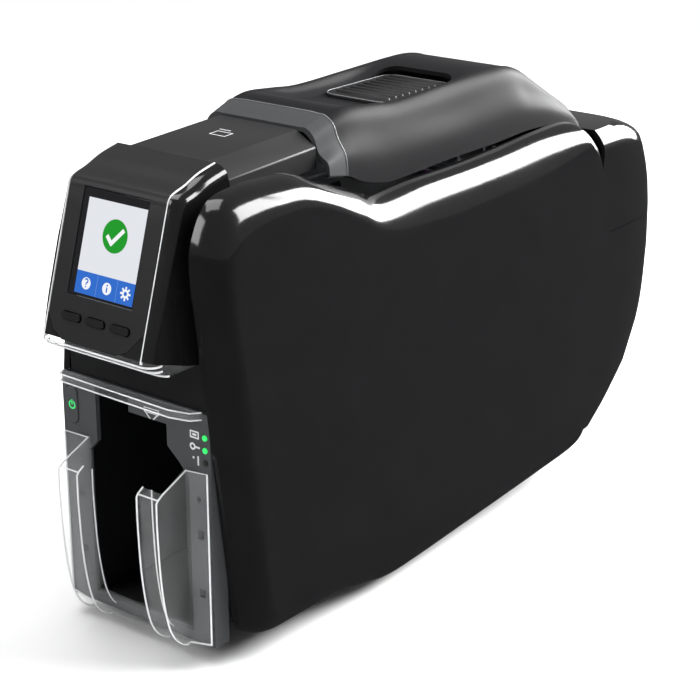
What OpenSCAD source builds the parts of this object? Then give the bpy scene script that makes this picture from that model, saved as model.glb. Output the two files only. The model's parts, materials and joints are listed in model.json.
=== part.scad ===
// Desktop ID card printer: a narrow upright machine with a drop-down side door,
// a hinged feeder hood at the back, a colour touch display at the front and a
// clear hopper that catches the finished cards.
//
// Machine axes: X across (door side +), Y front to back, Z up from the table.
// All parts are drawn from the display centreline and the foremost point of
// the chin; place() then centres the whole machine over the origin.

/* [Overall] */
// Reach of the left housing from the display centreline
left_x = 63; // [58:1:70]
// Reach of the door's outer face from the display centreline
right_x = 68; // [64:1:80]
// Depth from the chin to the back of the hood
depth = 482; // [450:1:580]
// Height of the ridge behind the release pad
ridge_z = 283; // [278:1:300]
// Thickness of the moulded skins
wall = 2.5; // [2:0.1:3.5]
// Gap between parts that move past each other
gap = 0.6; // [0.4:0.1:1]

/* [Side door] */
// Depth of the door shell, from its rim to its outer face
door_t = 19; // [17:0.5:24]
// Distance from the hood's back to the door's rear edge
door_back = 84; // [78:1:94]
// Height of the door's long top edge
door_top = 236; // [232:1:242]
// Height of the raised shoulder at the front of the door
shoulder_z = 262.5; // [258:0.5:268]
// Height of the door's hinge axis
hinge_z = 27; // [26:0.5:30]
// Radius of the door hinge pins
pin_r = 2; // [1.5:0.1:2.5]

/* [Display head] */
// Half width of the display head
head_half = 40; // [38:0.5:44]
// Lean of the face, degrees back from upright
face_tilt = 17; // [12:0.5:20]
// Width of the lit panel
lcd_w = 40.6; // [36:0.5:44]
// Height of the lit panel
lcd_h = 49; // [44:0.5:54]
// Height of the panel's centre above the table
lcd_z = 228.5; // [224:0.5:234]
// Width of one select button
key_w = 13.2; // [10:0.2:14]
// Travel of the select buttons
key_travel = 0.8; // [0.5:0.1:1.5]

/* [Front] */
// Distance from the chin back to the fascia plate
fascia_y = 32; // [28:0.5:36]
// Left edge of the card bay's mouth
bay_left = -40.5; // [-44:0.5:-38]
// Right edge of the card bay's mouth
bay_right = 33; // [30:0.5:36]
// Wall of the clear hopper
hopper_wall = 1.8; // [1.4:0.1:2.4]
// Lift that frees the hopper from its hooks
hopper_lift = 2; // [1.5:0.5:5]

/* [Transport] */
// Height of the card path
path_z = 125; // [123:0.5:128]
// Offset of the card path from the display centreline
card_x = -5; // [-7:0.5:-3]
// Width of a card
card_w = 54; // [50:0.5:58]
// Length of a card
card_l = 85.6; // [80:0.1:90]
// Radius of the rubber platen and the driven rollers
platen_r = 8; // [7:0.1:9]
// Radius of the roller shafts
shaft_r = 3; // [2.5:0.1:3.5]
// Module of the transport gears
gear_module = 1; // [0.9:0.05:1.1]
// Running clearance of a shaft in its bearing
run_fit = 0.05; // [0.02:0.01:0.1]

/* [Feeder] */
// Height of the seam between the hood and the rear housing
seam_z = 158; // [150:1:166]

/* [Hidden] */
$fn = 48;

door_in = right_x - door_t;            // rim plane of the door
core_r = door_in - gap;                // right limit of everything the door covers
seam_l = -left_x + 9;                  // rim plane of the left housing
door_rear = depth - door_back;         // rear edge of the door
left_frame_x = seam_l + 4;
right_frame_x = 35;

// ---- general shapes -------------------------------------------------------

module place() translate([(left_x - right_x) / 2, -depth / 2, 0]) children();

// closed curve through the points p, n steps per point (uniform Catmull-Rom)
function curve(p, n) = [for (i = [0:len(p) - 1], k = [0:n - 1])
  let (m = len(p), t = k / n, a = p[(i + m - 1) % m], b = p[i], c = p[(i + 1) % m],
       d = p[(i + 2) % m])
  0.5 * (2 * b + (c - a) * t + (2 * a - 5 * b + 4 * c - d) * t * t
         + (3 * b - a - 3 * c + d) * t * t * t)];

// loop p moved inwards by d along its normals (p runs clockwise)
function inset(p, d) = [for (i = [0:len(p) - 1])
  let (m = len(p), t = p[(i + 1) % m] - p[(i + m - 1) % m]) p[i] + d * [t.y, -t.x] / norm(t)];

function mix(a, b, t) = a * (1 - t) + b * t;

// solid skin over a list of loops with equal point counts, closed at both ends;
// an arch's loops run out over it and back inside, so its ends are closed by a strip
module skin(loops, arch = false) {
  n = len(loops[0]);
  m = len(loops);
  end = arch ? [for (i = [0:n / 2 - 2]) [i, i + 1, n - 2 - i, n - 1 - i]] : [[for (i = [0:n - 1]) i]];
  polyhedron(
    points = [for (l = loops) each l],
    faces = concat(end,
      [for (j = [0:m - 2], i = [0:n - 1])
        each [[j * n + i, (j + 1) * n + i, (j + 1) * n + (i + 1) % n],
              [j * n + i, (j + 1) * n + (i + 1) % n, j * n + (i + 1) % n]]],
      [for (f = end) [for (i = [len(f) - 1:-1:0]) (m - 1) * n + f[i]]]),
    convexity = 8);
}

// box from corner a to corner b
module box(a, b) translate(a) cube(b - a);

// cylinder of radius r lying along X from x0 to x1
module rod_x(r, x0, x1, y = 0, z = 0)
  translate([x0, y, z]) rotate([0, 90, 0]) cylinder(r = r, h = x1 - x0);

// cylinder of radius r lying along Y from y0 to y1
module rod_y(r, y0, y1, x = 0, z = 0)
  translate([x, y0, z]) rotate([-90, 0, 0]) cylinder(r = r, h = y1 - y0);

// plate of thickness t drawn in Y and Z, standing at x
module plate_x(x, t) translate([x, 0, 0]) rotate([90, 0, 90]) linear_extrude(t) children();

// plate of thickness t drawn in X and Z, its front face at y
module plate_y(y, t) translate([0, y + t, 0]) rotate([90, 0, 0]) linear_extrude(t) children();

// rounded rectangle from corner a to corner b
module panel(a, b, r) {
  for (x = [a.x + r, b.x - r], y = [a.y + r, b.y - r]) translate([x, y]) circle(r);
  translate([a.x + r, a.y]) square([b.x - a.x - 2 * r, b.y - a.y]);
  translate([a.x, a.y + r]) square([b.x - a.x, b.y - a.y - 2 * r]);
}

// smooth open path through the points p, n steps per span
function path(p, n) = [for (i = [0:len(p) - 2], k = [0:(i == len(p) - 2 ? n : n - 1)])
  let (m = len(p) - 1, t = k / n, a = p[max(i - 1, 0)], b = p[i], c = p[i + 1], d = p[min(i + 2, m)])
  0.5 * (2 * b + (c - a) * t + (2 * a - 5 * b + 4 * c - d) * t * t
         + (3 * b - a - 3 * c + d) * t * t * t)];

// open path p moved to its right by d
function beside(p, d) = [for (i = [0:len(p) - 1])
  let (t = p[min(i + 1, len(p) - 1)] - p[max(i - 1, 0)]) p[i] + d * [t.y, -t.x] / norm(t)];

function backwards(p) = [for (i = [len(p) - 1:-1:0]) p[i]];

// closed strip of thickness t under the open path p
function strip(p, t) = concat(p, backwards(beside(p, t)));

// ---- side panels ----------------------------------------------------------
// Their edges are drawn in Y and Z, clockwise from the front edge.

top_wave = [[162, 0], [204, 0], [244, 0], [284, 1], [328, 3]];
rear_edge = [[door_rear - 34.5, door_top + 1], [door_rear - 22, door_top - 7.5],
  [door_rear - 11, door_top - 25], [door_rear - 3.3, door_top - 54], [door_rear, 140],
  [door_rear - 1.5, 87], [door_rear - 8, 46], [door_rear - 17, 28], [door_rear - 32, 17.5]];
bottom_wave = [[320, 13], [245, 7.7], [190, 4], [163, 3.5], [140, 8], [114, 12.3], [80, 12.3]];

door_edge = concat(
  [[fascia_y - 12.3, 226], [fascia_y - 8.5, shoulder_z - 17], [fascia_y + 2, shoulder_z - 3.5],
   [fascia_y + 20, shoulder_z], [74, shoulder_z], [94, shoulder_z - 2], [119, shoulder_z - 11.5],
   [140.6, mix(shoulder_z, door_top, 0.75)]],
  [for (p = top_wave) [p.x, p.y + door_top - 1]], rear_edge, bottom_wave,
  [[fascia_y + 24, 13], [fascia_y + 13.5, 22], [fascia_y + 10, 50], [fascia_y + 1, 120],
   [fascia_y - 6, 175]]);

// how far the flat outer face lies inside each point of the edge
door_roll = [[14, -4], [14, -9], [13, -20], [9, -20.5], [1, -18.5], [-2, -17.5], [-5, -14.5],
  [-3, -19], [0, -24.5], [-4, -33.5], [0, -33], [0, -31], [-3, -29], [-2, -17], [-4, -10],
  [-7, -4], [-8, -1], [-8, 0], [-8, 0], [-8, 4], [-7, 8], [-4, 10], [0, 11], [0, 11.5],
  [0, 12], [0, 12], [0, 11], [0, 11], [3, 12], [10, 13], [13, 12], [14, 4], [14, 1], [14, -1]];

// loops of a rolled-edge panel of thickness t, from its outer face to its rim and back inside
function panel_loops(edge, roll, rim_x, face_x, t, turns) =
  let (o = curve(edge, 3), f = curve(edge + roll, 3), oi = inset(o, t), fi = inset(f, t / 2),
       s = sign(face_x - rim_x))
  [for (k = [turns:-1:0]) let (a = 90 * k / turns)
     [for (i = [0:len(o) - 1]) let (q = mix(o[i], f[i], 1 - cos(a)))
       [mix(rim_x, face_x, sin(a)), q.x, q.y]],
   for (k = [0:turns - 1]) let (a = 90 * k / (turns - 1))
     [for (i = [0:len(o) - 1]) let (q = mix(oi[i], fi[i], 1 - cos(a)))
       [mix(rim_x, face_x - s * t, sin(a)), q.x, q.y]]];

left_edge = concat(
  [[fascia_y + 1.5, 150], [fascia_y + 8, 190], [fascia_y + 20, 219], [fascia_y + 42, 236],
   [fascia_y + 68, 240], [130, 239]],
  [for (p = top_wave) [p.x, p.y + door_top - 1]], rear_edge, bottom_wave,
  [[fascia_y + 16, 12.5], [fascia_y + 4, 20], [fascia_y, 45], [fascia_y, 100]]);
left_roll = [for (i = [0:len(left_edge) - 1]) i < 4 ? [6, -5] : i < 13 ? [0, -7]
  : i < 20 ? [-6, 0] : i < 27 ? [0, 7] : [6, 3]];

hinge_x = door_in + 2.5;
hinge_at = [132, 335];                 // middle of each door hinge along Y
knuckle_l = 16;
ear_t = 5;
ledge_z = hinge_z + 5;                 // top of the tray's right-hand ledge

module side_door() color("#101113") place()
  skin(panel_loops(door_edge, door_roll, door_in, right_x, wall, 5));

module left_housing() color("#141517") place() difference() {
  mirror([1, 0, 0]) skin(panel_loops(left_edge, left_roll, -seam_l, left_x, wall, 4));
  // its front wraps round the fascia's left flange and the power button
  box([fascia_left - gap / 2, fascia_y - 5, 0], [seam_l + 1, fascia_y + 11 + gap, fascia_top + gap]);
  // cooling slots low on the blind side
  for (i = [0:9]) box([-left_x - 1, 200 + 12 * i, 40], [-left_x + 2 * wall, 206 + 12 * i, 74]);
}

liner_gap = 0.9;
module door_liner() color("#2a2c2f") place() difference() {
  union() {
    intersection() {
      plate_x(door_in, 2) polygon(inset(curve(door_edge, 3), wall + liner_gap));
      // its upper edge stays under the latch hooks
      box([door_in - 1, 0, 0], [right_x, depth, latch_z - pad_travel - 4]);
    }
    // stiffening ribs behind the plate
    for (y = [90, 180, 225, 270]) box([door_in + 2, y, 60], [door_in + 8, y + 2, 195]);
    for (z = [60, 125, 193]) box([door_in + 2, 62, z], [door_in + 8, door_rear - 28, z + 2]);
    // posts that carry the plate on the door's inner face
    for (y = [90, 270], z = [61, 194]) rod_x(4, door_in + 2, right_x - wall, y + 1, z);
    for (y = hinge_at) {
      rod_y(pin_r + 2.5, y - knuckle_l / 2, y + knuckle_l / 2, hinge_x, hinge_z);
      box([hinge_x - 2.5, y - knuckle_l / 2, hinge_z], [hinge_x + 2.5, y + knuckle_l / 2, hinge_z + 20]);
    }
  }
  for (y = hinge_at) {
    rod_y(pin_r + run_fit, y - knuckle_l, y + knuckle_l, hinge_x, hinge_z);
    // the plate is notched where the fixed ears reach in
    for (s = [-1, 1]) translate([0, y + s * (knuckle_l / 2 + ear_t / 2 + 1), 0])
      box([door_in - 1, -ear_t / 2 - 1, -5], [door_in + 4, ear_t / 2 + 1, hinge_z + 11]);
    box([door_in - 1, y - knuckle_l / 2 - 3, -5], [hinge_x - 2.6, y + knuckle_l / 2 + 3, hinge_z + 0.5]);
  }
}

module door_hinge_pins() color("silver") place()
  for (y = hinge_at)
    rod_y(pin_r, y - knuckle_l / 2 - ear_t - 0.5, y + knuckle_l / 2 + ear_t + 0.5, hinge_x, hinge_z);

// ---- base -----------------------------------------------------------------

tray_floor = 8;
tray_right = 26;
tray_front = fascia_y + 12;
tray_back = door_rear - 14;
bay_back = fascia_y + 76;
foot_at = [for (x = [seam_l + 10, tray_right - 10], y = [62, tray_back - 20]) [x, y]];
screw_at = [for (x = [seam_l + 22, tray_right - 22], y = [150, 300]) [x, y]];

module base_tray() color("#1b1c1e") place() difference() {
  union() {
    box([seam_l + gap, tray_front, tray_floor], [tray_right, tray_back, tray_floor + 3]);
    for (x = [seam_l + gap, tray_right - 2.5])
      box([x, bay_back + 3, tray_floor], [x + 2.5, tray_back, ledge_z]);
    box([seam_l + gap, tray_back - 2.5, tray_floor], [tray_right, tray_back, ledge_z]);
    box([tray_right - 2.5, bay_back + 3, ledge_z - 2.5], [core_r - 2, tray_back, ledge_z]);
    for (y = [180, 250, 320]) box([left_frame_x + 2.6, y, tray_floor], [tray_right, y + 2, tray_floor + 6]);
    for (y = hinge_at, s = [-1, 1]) translate([0, y + s * (knuckle_l / 2 + ear_t / 2 + 0.4), 0]) {
      rod_y(pin_r + 3, -ear_t / 2, ear_t / 2, hinge_x, hinge_z);
      box([core_r - 5, -ear_t / 2, hinge_z - 2.5], [hinge_x, ear_t / 2, ledge_z]);
    }
    for (p = screw_at) translate([p.x, p.y, tray_floor]) cylinder(r = 4, h = 9);
  }
  for (y = hinge_at) rod_y(pin_r, y - 20, y + 20, hinge_x, hinge_z);
  for (p = foot_at) translate([p.x, p.y, 0]) cylinder(r = 3, h = 20);
  for (p = screw_at) translate([p.x, p.y, 0]) cylinder(r = 1.6, h = 30);
  // cooling slots in the floor
  for (i = [0:7]) box([-20, 196 + 14 * i, 0], [5, 200 + 14 * i, tray_floor + 4]);
}

module rubber_feet() color("#232323") place()
  for (p = foot_at) translate([p.x, p.y, 0]) {
    cylinder(r1 = 8.5, r2 = 9, h = 2);
    translate([0, 0, 2]) cylinder(r = 9, h = tray_floor - 2);
    cylinder(r = 2.95, h = tray_floor + 4);
  }

module housing_screws() color("silver") place()
  for (p = screw_at) translate([p.x, p.y, 0]) {
    translate([0, 0, tray_floor - 2]) cylinder(r = 3, h = 2);
    translate([0, 0, tray_floor - 2]) cylinder(r = 1.5, h = 12);
  }

// ---- front ----------------------------------------------------------------

fascia_left = -left_x + 4;
fascia_top = 146;
hook_z = [40, 74];                     // lower edges of the hopper's hook slots
power_l = fascia_left + 2.6;           // sides of the power button's pocket
power_r = bay_left - 6.6;
mouth_top = path_z + 18.5;

// the card mouth, drawn in X and Z
mouth = [[bay_left, 18], [bay_left, 104], [bay_left + 6.5, 111], [bay_left + 6.5, mouth_top],
  [card_x - 4.4, mouth_top], [card_x - 4.4, mouth_top - 9.5], [card_x + 23, mouth_top - 9.5],
  [card_x + 23, 122], [bay_right - 7, 115], [bay_right, 107], [bay_right, 18]];

module front_fascia() color("#3a3c3f") place() difference() {
  union() {
    plate_y(fascia_y, 3) translate([fascia_left, 12]) square([core_r - fascia_left, fascia_top - 12]);
    // side flanges that stiffen the columns
    box([fascia_left, fascia_y, 12], [fascia_left + 2, fascia_y + 11, fascia_top]);
    box([core_r - 2, fascia_y, 12], [core_r, fascia_y + 11, light_z - 19]);
  }
  plate_y(fascia_y - 1, 20) polygon(mouth);
  // raised key pocket, hook slots and fixing holes in the columns
  plate_y(fascia_y - 1, 20) panel([power_l, path_z - 8], [power_r, path_z + 14], 4);
  for (z = hook_z, x = [bay_right + 5, bay_left - 9])
    box([x, fascia_y - 1, z], [x + 4.4, fascia_y + 20, z + hopper_lift + 3]);
  for (x = [bay_left - 6, bay_right + 6.5]) rod_y(1.6, fascia_y - 1, fascia_y + 20, x, 97);
  for (i = [0:2]) rod_y(1.6, fascia_y - 1, fascia_y + 20, light_x, light_z - 7 * i);
}

light_x = core_r - 3.4;
light_z = 133;
module status_lights() color("#35c24a") place()
  for (i = [0:2]) {
    rod_y(1.55, fascia_y - 0.6, fascia_y + 5, light_x, light_z - 7 * i);
    rod_y(2.4, fascia_y + 3.1, fascia_y + 5, light_x, light_z - 7 * i);
  }

module power_button() color("#2c2e31") place() {
  plate_y(fascia_y - 0.8, 4.2) panel([power_l + 0.4, path_z - 7.6], [power_r - 0.4, path_z + 13.6], 3.6);
  plate_y(fascia_y + 3.3, 1.2) panel([power_l - 0.6, path_z - 9.5], [power_r + 2, path_z + 15.5], 3);
}

module card_bay() color("#0c0c0d") place() difference() {
  box([bay_left - 2, fascia_y + 3.2, 14.5], [bay_right + 2, bay_back, mouth_top + 2]);
  box([bay_left, fascia_y, 16.5], [bay_right, bay_back - 2, mouth_top]);
  // the card slot in the back wall
  box([card_x - card_w / 2 - 2, bay_back - 5, path_z - 3],
    [card_x + card_w / 2 + 2, bay_back + 5, path_z + 5]);
}

module feed_lip() color("#c9ced2", 0.5) place() difference() {
  translate([0, 0, fascia_top - 4]) linear_extrude(5) polygon([[fascia_left + 1, fascia_y - 0.2],
    [fascia_left + 4, fascia_y - 6], [bay_right - 6, fascia_y - 8], [bay_right + 6, fascia_y - 5],
    [bay_right + 10, fascia_y - 0.2]]);
  translate([0, 0, fascia_top - 6]) linear_extrude(5.4) polygon([[fascia_left + 4, fascia_y],
    [fascia_left + 5.6, fascia_y - 4.4], [bay_right - 6, fascia_y - 6.2], [bay_right + 4.6, fascia_y - 3.6],
    [bay_right + 7, fascia_y]]);
}

cover_z = 250;
cover_round = 22;                      // radius of the front cover's upper edges
module front_cover() color("#151618") place() difference() {
  translate([0, 118, 0]) rotate([90, 0, 0]) linear_extrude(118 - fascia_y - 2)
    cover_outline(0);
  translate([0, 119, 0]) rotate([90, 0, 0]) linear_extrude(119 - fascia_y - 4.5) cover_outline(wall);
  // the display head sits in a recess of its front
  box([-head_half - gap / 2, fascia_y, head_foot - gap],
    [head_half + gap / 2, cap_y + 1 + gap, cover_z + 10]);
}

module cover_outline(d) difference() {
  union() {
    translate([seam_l + gap + d, fascia_top + gap])
      square([core_r - seam_l - gap - 2 * d, cover_z - fascia_top - gap - cover_round]);
    for (x = [seam_l + gap + cover_round, core_r - cover_round])
      translate([x, cover_z - cover_round]) circle(cover_round - d);
    translate([seam_l + gap + cover_round, cover_z - 30])
      square([core_r - seam_l - gap - 2 * cover_round, 30 - d]);
  }
}

// ---- display head ---------------------------------------------------------

lcd_y = 15;
head_foot = 171.5;                     // underside of the head
cap_y = 59;                            // seam between the face shell and the top cap
plate_l = -35.5;                       // left edge of the matte face
plate_r = 31.5;                        // right edge of the matte face

// frame of the leaning face: X across, Y into the face, Z up along it
module on_face() translate([0, lcd_y, lcd_z]) rotate([-face_tilt, 0, 0]) children();

// a point on the leaning face, h above the display centre
function face_pt(h) = [lcd_y + h * sin(face_tilt), lcd_z + h * cos(face_tilt)];

// side view of the head's middle, from the back of its roof over the brow to the chin
brow = path([[cap_y, 270.5], [46, 267.5], [36, 263.5], face_pt(33) + [1.2, 0], face_pt(27)], 3);
face_line = concat(brow, [face_pt(0), face_pt(-30), face_pt(-51)]);
chin_line = [face_pt(-53) + [0.5, 0], face_pt(-56) + [4, 0], [9, head_foot]];
mid_section = concat([[cap_y, head_foot]], face_line, chin_line);
// side view at the outer sides, drawn back from the face
side_section = let (n = len(mid_section)) [for (i = [0:n - 1]) let (p = mid_section[i])
  p + (i == 0 ? [0, 0] : i < 7 ? [1, -6.5] : i < 14 ? [4.5, -5]
       : i == n - 4 ? [7.5, 1] : i == n - 3 ? [7, 0.5] : i == n - 2 ? [4.5, 0.5] : [3, 0])];

function at_x(x, p) = [for (q = p) [x, q.x, q.y]];

module head_block(d) skin([at_x(-head_half + d, side_section), at_x(plate_l + d / 2, mid_section),
  at_x(plate_r - d / 2, mid_section), at_x(head_half - d, side_section)]);

// outline of the matte face plate, seen square to the face
module face_outline(d) polygon([[plate_l + d, 80], [plate_r - d, 80], [plate_r - d, -36],
  [plate_r - 9, -47 + d], [plate_r - 16, -50 + d], [plate_l + 12, -50 + d], [plate_l + 5, -46 + d],
  [plate_l + d, -38]]);

glass_a = [-24.5, -25.8];
glass_b = [20.6, 29.3];
key_x = [-18.8, -1.9, 15.4];
key_h = -37.2;

module face_shell() color("#26282a") place() difference() {
  intersection() {
    plate_x(plate_l, plate_r - plate_l) polygon(strip(face_line, -wall));
    on_face() translate([0, 60, 0]) rotate([90, 0, 0]) linear_extrude(90) face_outline(0);
  }
  on_face() box([glass_a.x - 0.3, -5, glass_a.y - 0.3], [glass_b.x + 0.3, 5, glass_b.y + 0.3]);
  on_face() for (x = key_x) translate([0, 5, 0]) rotate([90, 0, 0]) linear_extrude(10)
    panel([x - key_w / 2 - 0.3, key_h - 2.3], [x + key_w / 2 + 0.3, key_h + 2.3], 2.2);
}

module light_bezel() color("#aeb4b8", 0.5) place() difference() {
  head_block(0);
  // room for the face plate and a hollow for the display
  on_face() translate([0, 60, 0]) rotate([90, 0, 0]) linear_extrude(90) face_outline(-0.3);
  box([-head_half + wall, 22, 150], [head_half - wall, 90, 240]);
  box([-head_half + wall + 3, 34, 200], [head_half - wall - 3, 90, 250]);
}

module screen_glass() color("#0a0b0c") place() on_face()
  box([glass_a.x, 0.2, glass_a.y], [glass_b.x, 1.6, glass_b.y]);

module lcd_panel() color("#e9edf0") place() on_face() {
  box([-lcd_w / 2, 1.9, -lcd_h / 2], [lcd_w / 2, 4.4, lcd_h / 2]);
  box([-lcd_w / 2 - 1.5, 4.4, -lcd_h / 2 - 3], [lcd_w / 2 + 1.5, 5.6, lcd_h / 2 + 1.5]);
}

module display_board() color("#1f5b34") place() on_face() {
  box([-27, 6, -42], [25, 7.6, 28]);
  for (x = [-20, 0], z = [-20, 5]) box([x, 7.6, z], [x + 12, 10, z + 12]);
  for (x = key_x) box([x - 3, 2.9 + key_travel, key_h - 3], [x + 3, 6, key_h + 3]);
}

module key(i) color("#1a1b1d") place() on_face() {
  translate([0, 1.8, 0]) rotate([90, 0, 0]) linear_extrude(3)
    panel([key_x[i] - key_w / 2, key_h - 2], [key_x[i] + key_w / 2, key_h + 2], 1.95);
  box([key_x[i] - 1.5, 1.8, key_h - 1], [key_x[i] + 1.5, 2.6, key_h + 1]);
}
module left_key() key(0);
module middle_key() key(1);
module right_key() key(2);

cap_front = cap_y + 1.6;
cap_back = 130.4;
cover_front = cap_back + gap;
cap_rise = 2.6;                        // the cap climbs towards the back, degrees
cap_h = 20;
function cap_half(d) = let (w = head_half - d)
  [[w, 0], [w, cap_h - 8 - d / 2], [w - 13 + d / 3, cap_h - d]];
function cap_line(d) = concat([for (p = cap_half(d)) [-p.x, p.y]], backwards(cap_half(d)));
module head_top_cap() color("#1f2123") place() difference() {
  translate([0, cap_front, cover_z + 0.4]) rotate([cap_rise, 0, 0]) translate([0, cap_back - cap_front, 0])
    rotate([90, 0, 0]) linear_extrude(cap_back - cap_front)
      polygon(concat(cap_line(0), backwards(cap_line(wall))));
  // shallow recess for the card-reader mark
  translate([-3, 102, cover_z + cap_h + 1.8]) box([-9, -8, 0], [9, 8, 5]);
}

// ---- rear top cover -------------------------------------------------------
// Sections across the machine: distance back, seam, shoulder, rim and floor
// heights, then the half width at the shoulder.

cover_back = door_rear - 15;
cover_rows = path([[cover_front, cover_z + 1, 264, 274.2, 274.4, 41.5],
  [146, 248, 269, 278.4, 279.4, 42.5], [160, 242, 270, 280.6, 280.6, 43],
  [182, door_top + 1, 267, 278.6, 274, 43.5], [206, door_top + 1, 266, 276.5, 270, 43.5],
  [250, door_top + 2, 265, 277.5, 270, 43.5], [288, door_top + 2, 268, ridge_z - 4.4, ridge_z - 4.6, 43.5],
  [312, door_top + 3, 268, ridge_z - 5, ridge_z - 5, 43.5], [330, door_top + 3, 262.5, 273.5, 273.5, 43.5],
  [348, door_top + 2, 256.5, 263, 263, 44], [cover_back - 20, door_top, 249.5, 253.5, 253.5, 45],
  [cover_back - 7, door_top - 3, 243, 245, 245, 45.5],
  [cover_back, door_top - 6, 236, 237, 237.6, 45.5]], 2);

// section at row s; the inner face is the outer one drawn in by the wall
function cover_ring(s) = let (
    h = path([[core_r, s[1]], [core_r - 1.2, mix(s[1], s[2], 0.5)], [s[5] - 0.5, s[2] - 2],
      [s[5] - 4, mix(s[2], s[3], 0.6)], [s[5] - 9, s[3]], [s[5] - 14, mix(s[3], s[4], 0.6)],
      [s[5] - 19, s[4]]], 2),
    half = concat([for (p = h) [-p.x, p.y]], backwards(h)),
    inner = [for (p = half) [p.x * (1 - wall / core_r), p.y - (abs(p.x) == core_r ? 0 : wall)]])
  [for (p = concat(half, backwards(inner))) [p.x, s[0], p.y]];

pad_a = [-25, 214];
pad_b = [25, 280];
pad_z = 271.5;
pad_travel = 3;
rib_pitch = 6.4;                       // spacing of the pad's ribs

module top_cover() color("#1c1d1f") place() difference() {
  skin([for (s = cover_rows) cover_ring(s)], arch = true);
  translate([0, 0, pad_z - 20]) linear_extrude(40) panel(pad_a - [0.7, 0.7], pad_b + [0.7, 0.7], 10);
}

latch_z = 217;                         // underside of the latch bar
latch_at = [205, 300];
latch_y = [296, 304];                  // the bar crosses behind the head's pivot
bridge = 6;                            // rise of the latch bar's middle
module release_pad() color("#2b2d30") place() {
  translate([0, 0, pad_z - 5]) linear_extrude(5) panel(pad_a, pad_b, 9.5);
  for (i = [0:8]) translate([0, pad_a.y + 7 + rib_pitch * i, pad_z])
    box([pad_a.x + 6, 0, 0], [pad_b.x - 6, 2, 1.2]);
  for (x = [-8, 6]) box([x, 258, latch_z + bridge + 3.3], [x + 2, 270, pad_z - 5]);
}

module latch_bar() color("#b8bcc0") place() {
  // bridge that carries the pad's push over the head's pivot shaft
  box([-12, 255, latch_z + bridge], [12, latch_y[1], latch_z + bridge + 3]);
  box([-12, latch_y[1] - 3, latch_z], [12, latch_y[1], latch_z + bridge + 3]);
  box([-12, latch_y[0], latch_z], [core_r - 4, latch_y[1], latch_z + 3]);
  box([core_r - 8, latch_at[0] - 4, latch_z], [core_r - 4, latch_at[1] + 4, latch_z + 3]);
  for (y = latch_at) {
    box([core_r - 4, y - 4, latch_z], [door_in + 3, y + 4, latch_z + 3]);
    box([door_in + 1.2, y - 4, latch_z + 3], [door_in + 3, y + 4, latch_z + 4.6]);
  }
}

// ---- back -----------------------------------------------------------------

hood_pivot = [door_rear - 6, 214];     // hinge axis of the hood, in Y and Z
hood_mid = (right_x - left_x) / 2 + 0.5;
hood_half = 59;                        // half width of the bulging back
front_rim = [[20, door_rear - 14], [46, door_rear - 6.5], [87, door_rear + 0.2], [140, door_rear + 1],
  [seam_z, door_rear + 1], [184, door_rear - 1.6], [200, door_rear - 6], [215, door_rear - 4.5],
  [240, door_rear - 4.5]];
back_line = [[22, depth - 74], [36, depth - 52], [57, depth - 29], [88, depth - 8], [108, depth - 3],
  [136, depth], [164, depth - 1], [180, depth - 3.5], [194, depth - 8], [205, depth - 13.5],
  [213, depth - 20],  [219, depth - 28], [224, depth - 40], [227.5, depth - 54]];

// closed level section through the bulging back, shrunk by d and, near its roof, let down by d
function back_ring(z, d, hw) = let (
    y0 = lookup(z, front_rim) - (d > 0 ? 5 : 0), y1 = lookup(z, back_line) - d)
  [for (i = [0:24]) let (a = 7.5 * i, c = cos(a), s = sin(a))
    [hood_mid + (hw - d) * sign(c) * pow(abs(c), 0.42), y0 + (y1 - y0) * pow(abs(s), 0.5),
     z - d * min(1, max(0, z - 180) / 36)]];

function low_w(z) = hood_half - max(0, 60 - z) * 0.12;
function top_w(z) = hood_half - 0.045 * pow(max(0, z - 213), 2);
module back_block(zs, d) skin([for (z = zs) back_ring(z, d, min(low_w(z), top_w(z)))]);

low_rows = [23, 30, 40, 52, 66, 84, 104, 122, 136, 148, seam_z];
port_a = [-38, 51];
port_b = [22, 99];
port_y = depth - 36;

module rear_housing() color("#121315") place() difference() {
  back_block(low_rows, 0);
  difference() {
    back_block([for (z = low_rows) z == 23 ? 20 : z == seam_z ? seam_z + 5 : z], wall);
    // pocket wall that carries the sockets
    box([port_a.x - 2.5, port_y - 2.5, port_a.y - 2.5], [port_b.x + 2.5, depth, port_b.y + 2.5]);
  }
  box([port_a.x, port_y, port_a.y], [port_b.x, depth + 5, port_b.y]);
  box([port_a.x + 4, port_y - 5, port_a.y + 4], [port_b.x - 4, port_y + 5, port_b.y - 4]);
  for (x = [-20:8:28]) box([x, depth - 30, 106], [x + 4, depth + 5, 142]);
}

hood_rows = [seam_z + gap, 168, 180, 192, 202, 210, 216, 220, 223, 226.5];
module feeder_hood() color("#0f1012") place() difference() {
  back_block(hood_rows, 0);
  back_block([for (z = hood_rows) z == hood_rows[0] ? z - 5 : z], wall);
}

arm_x = [left_frame_x + 3, right_frame_x - 3];
hood_pin_r = 2.5;
module hood_arms() color("#3a3c40") place() difference() {
  union() {
    for (x = arm_x) rod_x(5, x, x + 2.5, hood_pivot.x, hood_pivot.y);
    intersection() {
      for (x = arm_x) plate_x(x, 2.5) polygon([[hood_pivot.x - 2, hood_pivot.y + 3],
        [hood_pivot.x + 6, 240], [depth, 240], [depth, seam_z + 16], [depth - 24, seam_z + 16],
        [depth - 34, 196], [hood_pivot.x + 2, hood_pivot.y - 4]]);
      back_block([for (z = hood_rows) z == hood_rows[0] ? z - 5 : z], wall + 0.1);
    }
  }
  rod_x(hood_pin_r + run_fit, -60, 60, hood_pivot.x, hood_pivot.y);
}

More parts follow.
